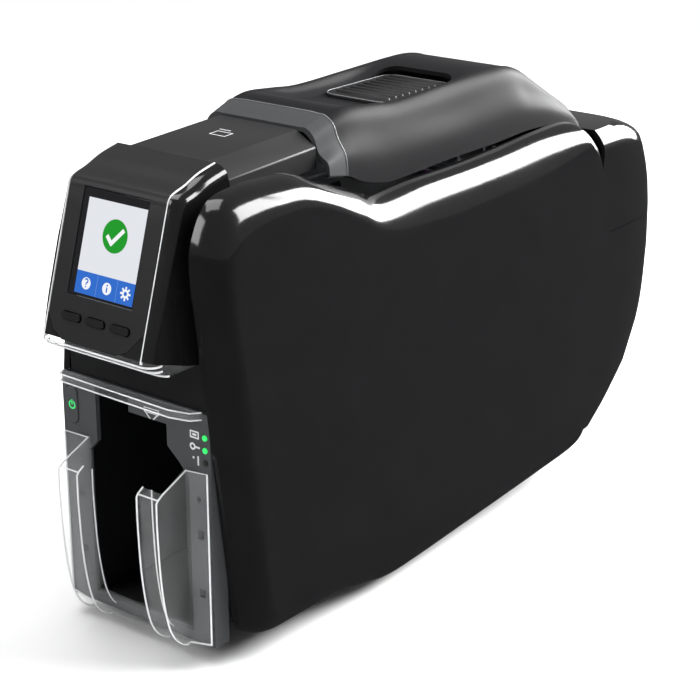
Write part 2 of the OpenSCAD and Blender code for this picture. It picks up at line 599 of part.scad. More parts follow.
module hood_pins() color("silver") place() {
  rod_x(hood_pin_r, left_frame_x - 0.5, arm_x[0] + 3, hood_pivot.x, hood_pivot.y);
  rod_x(hood_pin_r, arm_x[1] - 0.5, right_frame_x + 3, hood_pivot.x, hood_pivot.y);
}

module port_panel() color("#26282b") place() difference() {
  box([port_a.x + 2, port_y - 4.6, port_a.y + 3.3], [port_b.x - 0.4, port_y - 2.8, port_b.y - 0.4]);
  rod_y(5.6, port_y - 10, port_y + 5, port_a.x + 13, port_a.y + 14);
  box([port_a.x + 26, port_y - 10, port_a.y + 8], [port_a.x + 38.6, port_y + 5, port_a.y + 20]);
  box([port_a.x + 9, port_y - 10, port_a.y + 28], [port_a.x + 25.6, port_y + 5, port_a.y + 42]);
}

inlet_bore_r = 3.2;
inlet_l = 10;
module power_inlet() color("#101010") place() difference() {
  union() {
    rod_y(5.5, port_y - 9, port_y - 1.5, port_a.x + 13, port_a.y + 14);
    rod_y(7, port_y - 6.4, port_y - 4.9, port_a.x + 13, port_a.y + 14);
    rod_y(5.5, port_y - 15, port_y - 9, port_a.x + 13, port_a.y + 14);
  }
  rod_y(inlet_bore_r, port_y - 1.5 - inlet_l, port_y + 1, port_a.x + 13, port_a.y + 14);
}

module usb_port() color("#b9bdc1") place() difference() {
  box([port_a.x + 26.3, port_y - 15, port_a.y + 8.3], [port_a.x + 38.3, port_y - 2, port_a.y + 19.7]);
  box([port_a.x + 27.8, port_y - 11, port_a.y + 9.8], [port_a.x + 36.8, port_y, port_a.y + 18.2]);
}

module network_port() color("#b9bdc1") place() difference() {
  box([port_a.x + 9.3, port_y - 17, port_a.y + 28.3], [port_a.x + 25.3, port_y - 2, port_a.y + 41.7]);
  box([port_a.x + 11.3, port_y - 13, port_a.y + 30], [port_a.x + 23.3, port_y, port_a.y + 38]);
  box([port_a.x + 14.3, port_y - 13, port_a.y + 37], [port_a.x + 20.3, port_y, port_a.y + 40.5]);
}

// ---- clear output hopper --------------------------------------------------

// front edge of each hopper arm, in Y and Z, from its rim down to its toe
arm_front = path([[7.5, 101], [7.5, 84], [9, 55], [12.5, 32], [17, 20], [23, 13.5], [28, 11]], 3);
arm_w = 15;                            // width of each arm's front strip
arm_rim = 113;                         // top of each arm where it meets the column
hop_back = fascia_y - 0.4;

// side wall of one arm: a plate shaped by the front edge, with a sloping rim
module arm_side(x) plate_x(x, hopper_wall)
  polygon(concat([[hop_back, 10.5], [hop_back, arm_rim]], arm_front));

// curved front strip from x0 to x1 that follows the front edge
module arm_strip(x0, x1) plate_x(x0, x1 - x0) 
  polygon(strip(concat([[12.5, 105], [8.8, 102.8]], arm_front, [[hop_back - 1, 10.4]]), -hopper_wall));

// one arm: s is +1 where the wall stands right of its strip and -1 where it stands left
module hopper_arm(wall_x, s) {
  arm_side(wall_x - (s > 0 ? hopper_wall : 0));
  arm_strip(min(wall_x, wall_x - s * arm_w), max(wall_x, wall_x - s * arm_w));
  // return lip along the strip's free edge
  plate_x(wall_x - s * arm_w - (s > 0 ? 0 : hopper_wall), hopper_wall)
    polygon(strip([for (p = arm_front) if (p.y > 28) p], -12));
  // outward flange that lies on the column, with its hooks
  edge = s > 0 ? core_r - 1 : fascia_left + 1;
  plate_y(hop_back - hopper_wall, hopper_wall)
    polygon([[wall_x, 11], [wall_x, arm_rim - 1], [edge, arm_rim + s], [edge, 14]]);
  for (z = hook_z) {
    hx = s > 0 ? bay_right + 5.5 : bay_left - 8.5;
    box([hx, hop_back - 0.5, z + 0.4], [hx + 3.4, fascia_y + 4.4, z + 2.6]);
    box([hx, fascia_y + 3.3, z - 1.2], [hx + 3.4, fascia_y + 4.8, z + 2.6]);
  }
}

module output_hopper() color("#cfd6da", 0.4) place() {
  hopper_arm(bay_left + 0.4, -1);
  hopper_arm(bay_right - 0.4, 1);
  // floor web that ties the two arms together
  box([bay_left + 1, 24, 14], [bay_right - 1, hop_back, 14 + hopper_wall]);
  box([bay_left + 1, hop_back - hopper_wall, 14], [bay_right - 1, hop_back, 22]);
}

// ---- frames ---------------------------------------------------------------

frame_front = bay_back + 3;
frame_back = door_rear - 14.5;
teeth = 25;                            // on each roller gear
idler_teeth = 50;
gear_r = gear_module * teeth / 2;
idler_r = gear_module * idler_teeth / 2;
step = gear_r + idler_r;
exit_y = bay_back + 10;
platen_y = exit_y + 2 * step;
feed_y = exit_y + 4 * step;
clean_y = feed_y + 42;
pick_y = feed_y + 100;
shaft_z = path_z - platen_r;
pinion_teeth = 15;
pinion_r = gear_module * pinion_teeth / 2;
pinion_z = shaft_z - idler_r - pinion_r;
lift_y = feed_y + 20;
lift_z = 214;
card_gap = 0.9;
pinch_r = 6;
pinch_z = path_z + card_gap + pinch_r;
spool_z = 192;
supply_y = platen_y + 38;
takeup_y = platen_y - 38;
journal_r = 4;

module frame_outline(mid_z, back_z) polygon([
  [frame_front, ledge_z + 0.1], [frame_front, mid_z], [feed_y + 5, mid_z],
  [feed_y + 11, back_z], [frame_back - 18, back_z], [hood_pivot.x - 3, hood_pivot.y + 4],
  [hood_pivot.x + 2.5, hood_pivot.y + 4], [hood_pivot.x + 5, hood_pivot.y],
  [hood_pivot.x + 4, hood_pivot.y - 5],
  [frame_back, hood_pivot.y - 12], [frame_back, ledge_z + 0.1]]);

module frame_bores(x) {
  for (y = [exit_y, platen_y, feed_y, pick_y]) rod_x(shaft_r + run_fit, x - 1, x + 5, y, shaft_z);
  for (y = [exit_y, feed_y, clean_y]) rod_x(2 + run_fit, x - 1, x + 5, y, pinch_z + (y == clean_y ? 2 : 0));
  rod_x(shaft_r, x - 1, x + 5, lift_y, lift_z);
  rod_x(hood_pin_r, x - 1, x + 5, hood_pivot.x, hood_pivot.y);
}

module left_frame() color("#9aa0a5") place() difference() {
  union() {
    plate_x(left_frame_x, 2.5) frame_outline(224, 224);
    // foot tab that the tray's wall stands beside
    box([left_frame_x, frame_front + 10, tray_floor + 3.1],
      [left_frame_x + 2.5, frame_back - 6, ledge_z + 1]);
    for (y = [exit_y + step, feed_y - step]) rod_x(3, left_frame_x - 4.6, left_frame_x, y, shaft_z);
  }
  frame_bores(left_frame_x);
  rod_x(4, left_frame_x - 1, left_frame_x + 5, exit_y + step, pinion_z);
  for (y = [150, 215, 330]) plate_x(left_frame_x - 1, 5) panel([y, 50], [y + 34, 82], 6);
  plate_x(left_frame_x - 1, 5) panel([frame_front + 14, 150], [frame_front + 30, 205], 6);
}

module right_frame() color("#9aa0a5") place() difference() {
  plate_x(right_frame_x, 2.5) frame_outline(146, 224);
  frame_bores(right_frame_x);
  for (y = [130, 185, 240, 300]) plate_x(right_frame_x - 1, 5) panel([y, 46], [y + 40, 92], 6);
  // notch for the latch bar
  box([right_frame_x - 1, latch_y[0] - 2, latch_z - pad_travel - 2],
    [right_frame_x + 5, latch_y[1] + 2, 240]);
  plate_x(right_frame_x - 1, 5) panel([lift_y + 26, 150], [frame_back - 22, 196], 8);
}

// ---- gears ----------------------------------------------------------------

function involute(a) = tan(a) * 180 / PI - a;
pressure = 20;

// half angle of a tooth at radius r, on a gear of pitch radius rp with n teeth
function tooth_half(r, rp, n) = let (rb = rp * cos(pressure))
  90 / n - 8 * 0.12 / rp + involute(pressure) - (r > rb ? involute(acos(rb / r)) : 0);

module gear_outline(n) {
  rp = gear_module * n / 2;
  lo = rp - 1.2 * gear_module;
  hi = rp + 0.92 * gear_module;
  flank = [for (k = [0:3]) mix(lo, hi, k / 3)];
  polygon([for (i = [0:n - 1]) each concat(
    [for (r = flank) let (a = 360 * i / n - tooth_half(r, rp, n)) r * [cos(a), sin(a)]],
    [for (r = backwards(flank)) let (a = 360 * i / n + tooth_half(r, rp, n)) r * [cos(a), sin(a)]])]);
}

gear_x = left_frame_x - 4;             // left face of the gear train
gear_w = 3.4;

// gear lying in Y and Z, turned by the given angle from +Y towards +Z
module gear(n, y, z, turn, bore) translate([gear_x, y, z]) rotate([90, 0, 90]) linear_extrude(gear_w)
  difference() {
    rotate(turn) gear_outline(n);
    circle(bore);
    // lightening holes in the large gears
    if (n > 30) for (i = [0:5])
      rotate(60 * i + 30) translate([gear_module * n / 4, 0]) circle(gear_module * 4.5);
  }

module driven_roller(y, turn, r, tone) {
  color("silver") rod_x(shaft_r, gear_x, right_frame_x + 2.5, y, shaft_z);
  color(tone) rod_x(r, card_x - card_w / 2 - 1, card_x + card_w / 2 + 1, y, shaft_z);
  color("ivory") gear(teeth, y, shaft_z, turn, shaft_r - 0.2);
}

module exit_roller() place() driven_roller(exit_y, 0, platen_r, "#303030");
module platen_roller() place() driven_roller(platen_y, 180, platen_r, "#202020");
module feed_roller() place() driven_roller(feed_y, 0, platen_r, "#303030");
module pick_roller() color("#3b3b3b") place() {
  rod_x(shaft_r, left_frame_x - 0.5, right_frame_x + 2.5, pick_y, shaft_z);
  rod_x(platen_r - 0.3, card_x - 14, card_x + 14, pick_y, shaft_z);
}
module exit_idler() color("ivory") place()
  gear(idler_teeth, exit_y + step, shaft_z, 180 / idler_teeth, 3 + run_fit);
module feed_idler() color("ivory") place()
  gear(idler_teeth, feed_y - step, shaft_z, 0, 3 + run_fit);

module small_roller(y, z, r, tone) {
  color("silver") rod_x(2, left_frame_x, right_frame_x + 2.5, y, z);
  color(tone) rod_x(r, card_x - card_w / 2 + 3, card_x + card_w / 2 - 3, y, z);
}
module exit_pinch() place() small_roller(exit_y, pinch_z, pinch_r, "#8d9297");
module feed_pinch() place() small_roller(feed_y, pinch_z, pinch_r, "#8d9297");
module cleaning_roller() place() small_roller(clean_y, pinch_z + 2, pinch_r + 2, "#d8dcc8");

module drive_motor() color("#7d8287") place() {
  rod_x(17, left_frame_x + 2.6, left_frame_x + 34, exit_y + step, pinion_z);
  rod_x(6, left_frame_x + 34, left_frame_x + 37, exit_y + step, pinion_z);
  rod_x(3.8, left_frame_x + 0.2, left_frame_x + 2.6, exit_y + step, pinion_z);
}

module motor_pinion() color("goldenrod") place() difference() {
  union() {
    gear(pinion_teeth, exit_y + step, pinion_z, 6, 0);
    rod_x(2.5, gear_x + 1, left_frame_x + 0.1, exit_y + step, pinion_z);
  }
}

// ---- print head and ribbon ------------------------------------------------

head_l = card_w + 4;
module head_pivot_shaft() color("silver") place()
  rod_x(shaft_r, left_frame_x, right_frame_x + 2.5, lift_y, lift_z);

module print_head_arm() color("#8a8f94") place() difference() {
  union() {
    for (x = [card_x - head_l / 2 - 3, card_x + head_l / 2]) {
      rod_x(shaft_r + 3, x, x + 3, lift_y, lift_z);
      box([x, platen_y - 2, lift_z - 3], [x + 3, lift_y, lift_z + 4]);
      box([x, platen_y - 8, 152], [x + 3, platen_y + 8, lift_z + 6]);
    }
    box([card_x - head_l / 2 - 3, platen_y - 8, lift_z + 3],
      [card_x + head_l / 2 + 3, platen_y + 8, lift_z + 6]);
    box([card_x - head_l / 2 - 3, platen_y - 8, 152], [card_x + head_l / 2 + 3, platen_y + 8, 155]);
  }
  rod_x(shaft_r + run_fit, -80, 80, lift_y, lift_z);
}

film_t = 0.2;
module print_head() color("#c6b98f") place() {
  box([card_x - head_l / 2, platen_y - 7, 132], [card_x + head_l / 2, platen_y + 8, 151.9]);
  box([card_x - head_l / 2, platen_y - 4, path_z + 1.2], [card_x + head_l / 2, platen_y + 4, 132]);
  // cooling fins
  for (i = [-3:3]) translate([card_x + 7.6 * i, platen_y + 8, 134]) box([-1, 0, 0], [1, 4, 16]);
}

cart_l = left_frame_x + 5;
cart_r = 29;
module ribbon_cartridge() color("#55595e") place() difference() {
  union() {
    for (x = [cart_l, cart_r]) plate_x(x, 3) difference() {
      panel([takeup_y - 24, 164], [supply_y + 24, spool_z + 20], 10);
      panel([takeup_y + 16, 156], [supply_y - 22, spool_z + 12], 6);
    }
    for (y = [takeup_y - 22, supply_y + 18]) box([cart_l, y, 170], [cart_r + 3, y + 4, 178]);
    // finger grip on the loading side
    box([cart_r + 3, takeup_y + 20, spool_z + 13.5], [cart_r + 12, supply_y - 26, spool_z + 17]);
  }
  for (y = [supply_y, takeup_y]) rod_x(journal_r + run_fit, cart_l - 1, cart_r + 5, y, spool_z);
}

module spool(y, r) {
  color("ivory") rod_x(journal_r, cart_l - 1.5, cart_r + 3.5, y, spool_z);
  for (x = [cart_l + 3.4, cart_r - 2.4]) color("ivory") rod_x(r + 0.8, x, x + 2, y, spool_z);
  color("#4a2f52") rod_x(r - 0.6, cart_l + 5.4, cart_r - 2.4, y, spool_z);
}
supply_r = 16;
takeup_r = 11;
module supply_spool() place() spool(supply_y, supply_r);
module takeup_spool() place() spool(takeup_y, takeup_r);

module ribbon_film() color("#4a2f52") place()
  plate_x(card_x - card_w / 2 - 2, card_w + 4) polygon(strip([[takeup_y + takeup_r - 0.4, spool_z + 2],
    [platen_y - 20, 140], [platen_y - 17, path_z + 0.6], [platen_y + 14, path_z + 0.6],
    [platen_y + 19, 140], [supply_y - supply_r + 0.4, spool_z + 2]], -film_t));

// ---- feeder ---------------------------------------------------------------

tower_y = pick_y - 6;
tower_l = card_x - card_w / 2 - 1;
tower_r = card_x + card_w / 2 + 1;
module feeder_tower() color("#303236") place() difference() {
  union() {
    box([left_frame_x + 2.6, clean_y + 14, path_z - 2.5], [right_frame_x - 0.1, frame_back, path_z]);
    box([tower_l - 2.5, frame_back, path_z - 2.5], [tower_r + 2.5, tower_y + card_l + 1, path_z]);
    for (x = [tower_l - 2.5, tower_r]) plate_x(x, 2.5) polygon([[tower_y, path_z - 2], [tower_y, 214],
      [frame_back + 8, 206], [tower_y + card_l - 14, 204], [tower_y + card_l + 1, 188],
      [tower_y + card_l + 1, path_z - 2]]);
    box([tower_l - 2.5, tower_y - 2.5, path_z + 2], [tower_r + 2.5, tower_y, 214]);
    for (x = [tower_l - 2.5, tower_r])
      box([x, tower_y - 2.5, path_z - 2], [x + 2.5, tower_y + 1, path_z + 3]);
  }
  box([card_x - 15, pick_y - platen_r - 1, path_z - 5], [card_x + 15, pick_y + platen_r + 1, path_z + 1]);
  // guide slot of the card weight
  box([card_x - 3, tower_y - 5, path_z + 8], [card_x + 3, tower_y + 5, 220]);
}

module card_weight() color("#17181a") place() {
  box([tower_l + 0.8, tower_y + 1, path_z + 0.4], [tower_r - 0.8, tower_y + card_l - 8, path_z + 6]);
  box([card_x - 2.5, tower_y - 4.5, path_z + 9], [card_x + 2.5, tower_y + 4, path_z + 15]);
  box([card_x - 2.5, tower_y + 1, path_z + 5], [card_x + 2.5, tower_y + 4, path_z + 15]);
  box([card_x - 12, tower_y + card_l - 40, path_z + 6], [card_x + 12, tower_y + card_l - 36, path_z + 20]);
}

// ---- electronics ----------------------------------------------------------

module main_board() color("#1f5b34") place() difference() {
  board_shape();
  for (p = screw_at) translate([p.x, p.y, 0]) cylinder(r = 1.7, h = 30);
}
module board_shape() {
  box([seam_l + 14, 130, tray_floor + 9.1], [tray_right - 6, 330, tray_floor + 10.7]);
  for (b = [[-26, 145, 22, 22, 4], [-2, 158, 14, 26, 12], [-30, 190, 36, 36, 3], [-34, 245, 30, 14, 9],
            [-28, 272, 28, 40, 14]])
    box([b[0], b[1], tray_floor + 10.7], [b[0] + b[2], b[1] + b[3], tray_floor + 10.7 + b[4]]);
}

base_tray();
left_housing();
front_fascia();
card_bay();
front_cover();
face_shell();
light_bezel();
screen_glass();
lcd_panel();
display_board();
left_key();
middle_key();
right_key();
head_top_cap();
top_cover();
release_pad();
side_door();
door_liner();
door_hinge_pins();
latch_bar();
rear_housing();
feeder_hood();
hood_arms();
hood_pins();
output_hopper();
feed_lip();
power_button();
status_lights();
rubber_feet();
left_frame();
right_frame();
exit_roller();
exit_idler();
platen_roller();
feed_idler();
feed_roller();
exit_pinch();
feed_pinch();
cleaning_roller();
drive_motor();
motor_pinion();
print_head_arm();
print_head();
head_pivot_shaft();
ribbon_cartridge();
supply_spool();
takeup_spool();
ribbon_film();
feeder_tower();
card_weight();
pick_roller();
main_board();
port_panel();
usb_port();
network_port();
power_inlet();
housing_screws();
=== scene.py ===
import json
import bmesh
import bpy
import numpy as np
from mathutils import Matrix, Vector


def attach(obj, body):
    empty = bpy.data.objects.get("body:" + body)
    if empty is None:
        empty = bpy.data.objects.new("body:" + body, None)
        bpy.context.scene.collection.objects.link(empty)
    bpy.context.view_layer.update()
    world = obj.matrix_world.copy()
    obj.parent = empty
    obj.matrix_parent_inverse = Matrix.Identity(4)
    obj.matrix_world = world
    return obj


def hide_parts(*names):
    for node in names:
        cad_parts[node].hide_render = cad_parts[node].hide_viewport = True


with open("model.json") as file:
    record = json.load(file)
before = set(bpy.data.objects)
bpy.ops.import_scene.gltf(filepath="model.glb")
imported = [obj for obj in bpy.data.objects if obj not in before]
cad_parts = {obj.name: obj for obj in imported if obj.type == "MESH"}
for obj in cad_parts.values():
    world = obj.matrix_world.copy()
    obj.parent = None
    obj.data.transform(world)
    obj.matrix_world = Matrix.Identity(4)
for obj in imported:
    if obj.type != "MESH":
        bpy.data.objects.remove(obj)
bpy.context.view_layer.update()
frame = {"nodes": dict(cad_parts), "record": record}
nodes = frame["nodes"]

# ---- Camera and studio ------------------------------------------------------
# The photograph looks down at the display end from the door's side with a long
# lens. The printer stands on a white sweep under two softboxes, and three more
# in an arc beyond the door draw the white band along the door's rolled edge.

EYE = (0.6434, -0.8575, 0.5070)  # where the camera stands, in metres, and below it its three axes
RIGHT, UP, BACK = (0.788, 0.616, 0.0), (-0.2136, 0.2734, 0.9379), (0.5774, -0.7391, 0.3469)
camera = bpy.data.objects.new("photo_camera", bpy.data.cameras.new("photo_camera"))
camera.data.sensor_width, camera.data.lens, camera.data.clip_start = 36.0, 96.12, 0.05
camera.matrix_world = Matrix([(RIGHT[i], UP[i], BACK[i], EYE[i]) for i in range(3)] + [(0, 0, 0, 1)])
bpy.context.scene.collection.objects.link(camera)
bpy.context.scene.camera = camera
bpy.context.scene.view_settings.view_transform = "Standard"


class Wire:
    """A value in a shader; sums and products of wires and numbers add Math nodes."""

    def __init__(self, finish, socket):
        self.finish, self.socket = finish, socket

    def maths(self, kind, a, b=0.0):
        return self.finish.node("ShaderNodeMath", {"operation": kind}, {0: a, 1: b})

    def __add__(self, other):
        return self.maths("ADD", self, other)

    def __sub__(self, other):
        return self.maths("SUBTRACT", self, other)

    def __rsub__(self, other):
        return self.maths("SUBTRACT", other, self)

    def __mul__(self, other):
        return self.maths("MULTIPLY", self, other)

    __radd__, __rmul__ = __add__, __mul__

    def over(self, level):
        return self.maths("GREATER_THAN", self, level)

    def under(self, level):
        return self.maths("LESS_THAN", self, level)

    def most(self, other):
        return self.maths("MAXIMUM", self, other)

    def size(self):
        return self.maths("ABSOLUTE", self)

    def root(self):
        return self.maths("SQRT", self)

    def wave(self):
        return self.maths("SINE", self)


class Finish:
    """One material: a principled shader, with sockets set by name to numbers, colours or wires."""

    def __init__(self, name, colour, **sockets):
        self.name, self.material = name, bpy.data.materials.new(name)
        self.material.use_nodes = True
        self.tree = self.material.node_tree
        self.shader = self.tree.nodes["Principled BSDF"]
        self.set(Base_Color=(*colour, 1.0), **sockets)

    def put(self, socket, value):
        if isinstance(value, Wire):
            self.tree.links.new(value.socket, socket)
        else:
            socket.default_value = value

    def set(self, **sockets):
        for name, value in sockets.items():
            self.put(self.shader.inputs[name.replace("_", " ")], value)
        return self

    def node(self, kind, settings=None, values=None, out=0):
        """A new node with its settings and inputs, as the wire that leaves its output out."""
        made = self.tree.nodes.new(kind)
        for name, value in (settings or {}).items():
            setattr(made, name, value)
        for name, value in (values or {}).items():
            self.put(made.inputs[name], value)
        return Wire(self, made.outputs[out])

    def place(self):
        return self.node("ShaderNodeTexCoord", out="Object")

    def axes(self):
        split = self.node("ShaderNodeSeparateXYZ", {}, {0: self.place()}).socket.node
        return [Wire(self, split.outputs[k]) for k in range(3)]

    def noise(self, scale, detail=2.0, stretch=None):
        """Noise at a scale per metre, drawn out along an axis where stretch is small."""
        at = self.place()
        if stretch:
            at = self.node("ShaderNodeMapping", {}, {"Vector": at, "Scale": stretch})
        return self.node("ShaderNodeTexNoise", {}, {"Vector": at, "Scale": scale, "Detail": detail}, "Fac")

    def blend(self, amount, a, b):
        """Colour a where amount is 0, colour b where it is 1."""
        mixed = self.node("ShaderNodeMix", {"data_type": "RGBA"}, {0: amount}, 2)
        for k, colour in ((6, a), (7, b)):
            self.put(mixed.socket.node.inputs[k], colour if isinstance(colour, Wire) else (*colour, 1.0))
        return mixed

    def bump(self, height, depth):
        return self.node("ShaderNodeBump", {}, {"Height": height, "Distance": depth})


FADE_FROM, FADE_TO = 0.8, 1.7  # metres from the middle of the floor


def stage_plate(name, corners, lit, mirrored):
    """A backdrop of one plain tone that reflections see as another; to the camera it fades to white."""
    made = Finish(name, (lit, lit, lit), Roughness=1.0, Specular_IOR_Level=0.0)

    def glow(tone):
        return made.node("ShaderNodeEmission", {}, {"Color": (tone, tone, tone, 1)})

    def mixed(amount, a, b):
        return made.node("ShaderNodeMixShader", {}, {0: amount, 1: a, 2: b})

    x, y, z = made.axes()
    fade = {"Value": (x * x + y * y).root(), "From Min": FADE_FROM, "From Max": FADE_TO}
    outer = made.node("ShaderNodeMapRange", {"clamp": True}, fade)
    seen = outer * made.node("ShaderNodeLightPath", out="Is Camera Ray")
    mirror = made.node("ShaderNodeLightPath", out="Is Glossy Ray")
    near = mixed(mirror, Wire(made, made.shader.outputs[0]), glow(mirrored))
    made.put(made.tree.nodes["Material Output"].inputs["Surface"], mixed(seen, near, glow(1)))
    mesh = bpy.data.meshes.new(name)
    mesh.from_pydata(corners, [], [(0, 1, 2, 3)])
    mesh.materials.append(made.material)
    plate = bpy.data.objects.new(name, mesh)
    bpy.context.scene.collection.objects.link(plate)


stage_plate("floor", [(-6, -6, 0), (6, -6, 0), (6, 6, 0), (-6, 6, 0)], 0.97, 0.05)

SKY_LIGHT = 0.22  # how strongly the white sky lights and mirrors; the camera sees it at 1
world = bpy.data.worlds.new("studio")
bpy.context.scene.world = world
world.use_nodes = True
sky = world.node_tree
ray = sky.nodes.new("ShaderNodeLightPath")
seen = sky.nodes.new("ShaderNodeMath")
seen.operation = "MAXIMUM"
sky.links.new(ray.outputs["Is Camera Ray"], seen.inputs[0])
sky.links.new(ray.outputs["Is Transmission Ray"], seen.inputs[1])
dim = sky.nodes.new("ShaderNodeMapRange")
dim.inputs["To Min"].default_value, dim.inputs["To Max"].default_value = SKY_LIGHT, 1.0
sky.links.new(seen.outputs[0], dim.inputs["Value"])
sky.links.new(dim.outputs[0], sky.nodes["Background"].inputs["Strength"])
sky.nodes["Background"].inputs["Color"].default_value = (1, 1, 1, 1)


def softbox(name, width, height, watts):
    """A rectangular area light, still to be placed."""
    lamp = bpy.data.lights.new(name, "AREA")
    lamp.shape, lamp.size, lamp.size_y, lamp.energy = "RECTANGLE", width, height, watts
    made = bpy.data.objects.new(name, lamp)
    bpy.context.scene.collection.objects.link(made)
    return made


def aimed_light(name, place, target, side, watts):
    """A square softbox at one place that faces another, both in metres."""
    made = softbox(name, side, side, watts)
    made.location = place
    made.rotation_euler = (Vector(target) - Vector(place)).to_track_quat("-Z", "Y").to_matrix().to_euler()


def strip_light(name, start, end, width, watts, reach):
    """A softbox at reach metres from the printer's middle, its long axis along the arc between two
    directions: z is their mean, x their difference less its part along z, and y = z cross x."""
    start, end = np.array(start), np.array(end)
    made = softbox(name, reach * float(np.linalg.norm(end - start)), width, watts)
    z = Vector((start + end) / 2).normalized()
    x = Vector(end - start)
    x = (x - z * x.dot(z)).normalized()
    y, at = z.cross(x), z * reach + Vector((0, 0, 0.15))
    made.matrix_world = Matrix([(x[i], y[i], z[i], at[i]) for i in range(3)] + [(0, 0, 0, 1)])


BAND = [(0.03, 0.99, 0.1), (0.24, 0.91, 0.31), (0.5, 0.65, 0.56), (0.71, 0.28, 0.64)]
for k in range(3):
    strip_light("band_softbox_%d" % (k + 1), BAND[k], BAND[k + 1], width=1.05, watts=58, reach=2.2)
aimed_light("front_softbox", (-1.2, -2.2, 1.6), (0, -0.1, 0.2), side=1.2, watts=30)
aimed_light("overhead_softbox", (-0.5, -0.3, 2.4), (0, 0, 0.2), side=1.6, watts=40)

# ---- Side door --------------------------------------------------------------
# One large injection moulding in high-gloss black, with a thick rolled edge that
# dips behind the shoulder. It hinges along its bottom edge on two steel pins.

MACHINE = np.array([-2.5, -241.0, 0.0])  # from the drawing's origin to the row's, in millimetres


def spans(a, b, c, d, n):
    """Catmull-Rom curve, n points on each span between b and c: the slope at b is half of (c - a), and
    the one at c half of (d - b), with a and d the neighbours."""
    t = (np.arange(n) / n)[None, :, None]
    a, b, c, d = (p[:, None, :] for p in (a, b, c, d))
    q = 2 * b + (c - a) * t + (2 * a - 5 * b + 4 * c - d) * t**2 + (3 * b - a - 3 * c + d) * t**3
    return (q / 2).reshape(-1, b.shape[-1])


def closed_curve(points, n):
    """That curve through points and back to the first."""
    p = np.asarray(points, float)
    return spans(*(np.roll(p, k, 0) for k in (1, 0, -1, -2)), n)


def open_curve(points, n):
    """That curve between two ends, which stand in for their own missing neighbours."""
    p = np.asarray(points, float)
    q = np.concatenate([p[:1], p, p[-1:]])
    return np.concatenate([spans(*(q[k:len(q) - 3 + k] for k in range(4)), n), p[-1:]])


def inward(loop, d):
    """A clockwise loop moved inwards by d along its normals."""
    t = np.roll(loop, -1, 0) - np.roll(loop, 1, 0)
    return loop + d * np.stack([t[:, 1], -t[:, 0]], 1) / np.linalg.norm(t, axis=1)[:, None]


def skin(rings, arch=False):
    """Quads between neighbouring closed rings of equal length, and a flat cap on the first and last;
    an arch's rings run out over it and back inside, so a strip of quads closes its ends."""
    rings = np.asarray(rings, float)
    m, n = rings.shape[:2]
    i, j = np.meshgrid(np.arange(n), np.arange(m - 1))
    k = (i + 1) % n
    quads = np.stack([j * n + i, (j + 1) * n + i, (j + 1) * n + k, j * n + k], -1).reshape(-1, 4)
    cap = [[i, i + 1, n - 2 - i, n - 1 - i] for i in range(n // 2 - 1)] if arch else [list(range(n))]
    return rings.reshape(-1, 3), quads.tolist() + cap + [[i + m * n - n for i in f] for f in cap]


CREASE, CORNER = np.radians(35), np.radians(30)  # angles from which an edge is shaded sharp, or rounded


def piece(name, shape, finish, body="chassis", replaces=(), bevel=0.0):
    """A smooth closed surface drawn in machine millimetres, put in the row frame and on its body."""
    points, faces = shape
    mesh = bpy.data.meshes.new(name)
    mesh.from_pydata(((points + MACHINE) / 1000).tolist(), [], faces)
    made = bpy.data.objects.new(name, mesh)
    bpy.context.scene.collection.objects.link(made)
    tidy = bmesh.new()
    tidy.from_mesh(mesh)
    bmesh.ops.remove_doubles(tidy, verts=tidy.verts, dist=1e-7)
    bmesh.ops.recalc_face_normals(tidy, faces=tidy.faces)
    tidy.to_mesh(mesh)
    tidy.free()
    mesh.shade_smooth()
    mesh.set_sharp_from_angle(angle=CREASE)
    mesh.materials.append(finish.material)
    if bevel:
        rounding = made.modifiers.new("rounding", "BEVEL")
        rounding.width, rounding.segments, rounding.limit_method = bevel / 1000, 2, "ANGLE"
        rounding.angle_limit, rounding.harden_normals = CORNER, False
    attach(made, body)
    if replaces:
        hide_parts(*replaces)
    return made


def moulding(name, colour, rough, grain, depth, **sockets):
    """Moulded plastic of a mean roughness: a spark-eroded grain of the given scale per metre, with
    faint drift of tone and gloss."""
    made = Finish(name, colour, **sockets)
    drift, fine = made.noise(14, 3), made.noise(grain)
    made.set(Roughness=drift * 0.08 + fine * 0.05 + (rough - 0.065),
             Base_Color=made.blend(made.noise(55, 4), [c * 0.8 for c in colour], [c * 1.2 for c in colour]),
             Normal=made.bump(fine, depth))
    return made


gloss_black = moulding("black_gloss_abs", (0.0075, 0.0075, 0.008), 0.12, 420, 0.00002)

DOOR_IN, DOOR_OUT, WALL = 49.0, 68.0, 2.5
REAR_EDGE = [(363.5, 237), (376, 228.5), (387, 211), (394.7, 182), (398, 140), (396.5, 87), (390, 46),
             (381, 28), (366, 17.5)]
BOTTOM_EDGE = [(320, 13), (245, 7.7), (190, 4), (163, 3.5), (140, 8), (114, 12.3), (80, 12.3)]
TOP_EDGE = [(162, 235), (204, 235), (244, 235), (284, 236), (328, 238)]
# the door's outline in y and z, and how far each of its points moves in by the time the roll is flat
door_edge = np.array([(19.7, 226), (23.5, 245.5), (34, 259), (52, 262.5), (74, 262.5), (94, 260.5),
                      (119, 251), (140.6, 242.625)] + TOP_EDGE + REAR_EDGE + BOTTOM_EDGE
                     + [(56, 13), (45.5, 22), (42, 50), (33, 120), (26, 175)], float)
door_roll = np.array([(14, -4), (14, -9), (13, -20), (9, -20.5), (1, -18.5), (-2, -17.5), (-5, -14.5),
                      (-3, -19), (0, -24.5), (-4, -33.5), (0, -33), (0, -31), (-3, -29), (-2, -17),
                      (-4, -10), (-7, -4), (-8, -1), (-8, 0), (-8, 0), (-8, 4), (-7, 8), (-4, 10),
                      (0, 11), (0, 11.5), (0, 12), (0, 12), (0, 11), (0, 11), (3, 12), (10, 13),
                      (13, 12), (14, 4), (14, 1), (14, -1)], float)


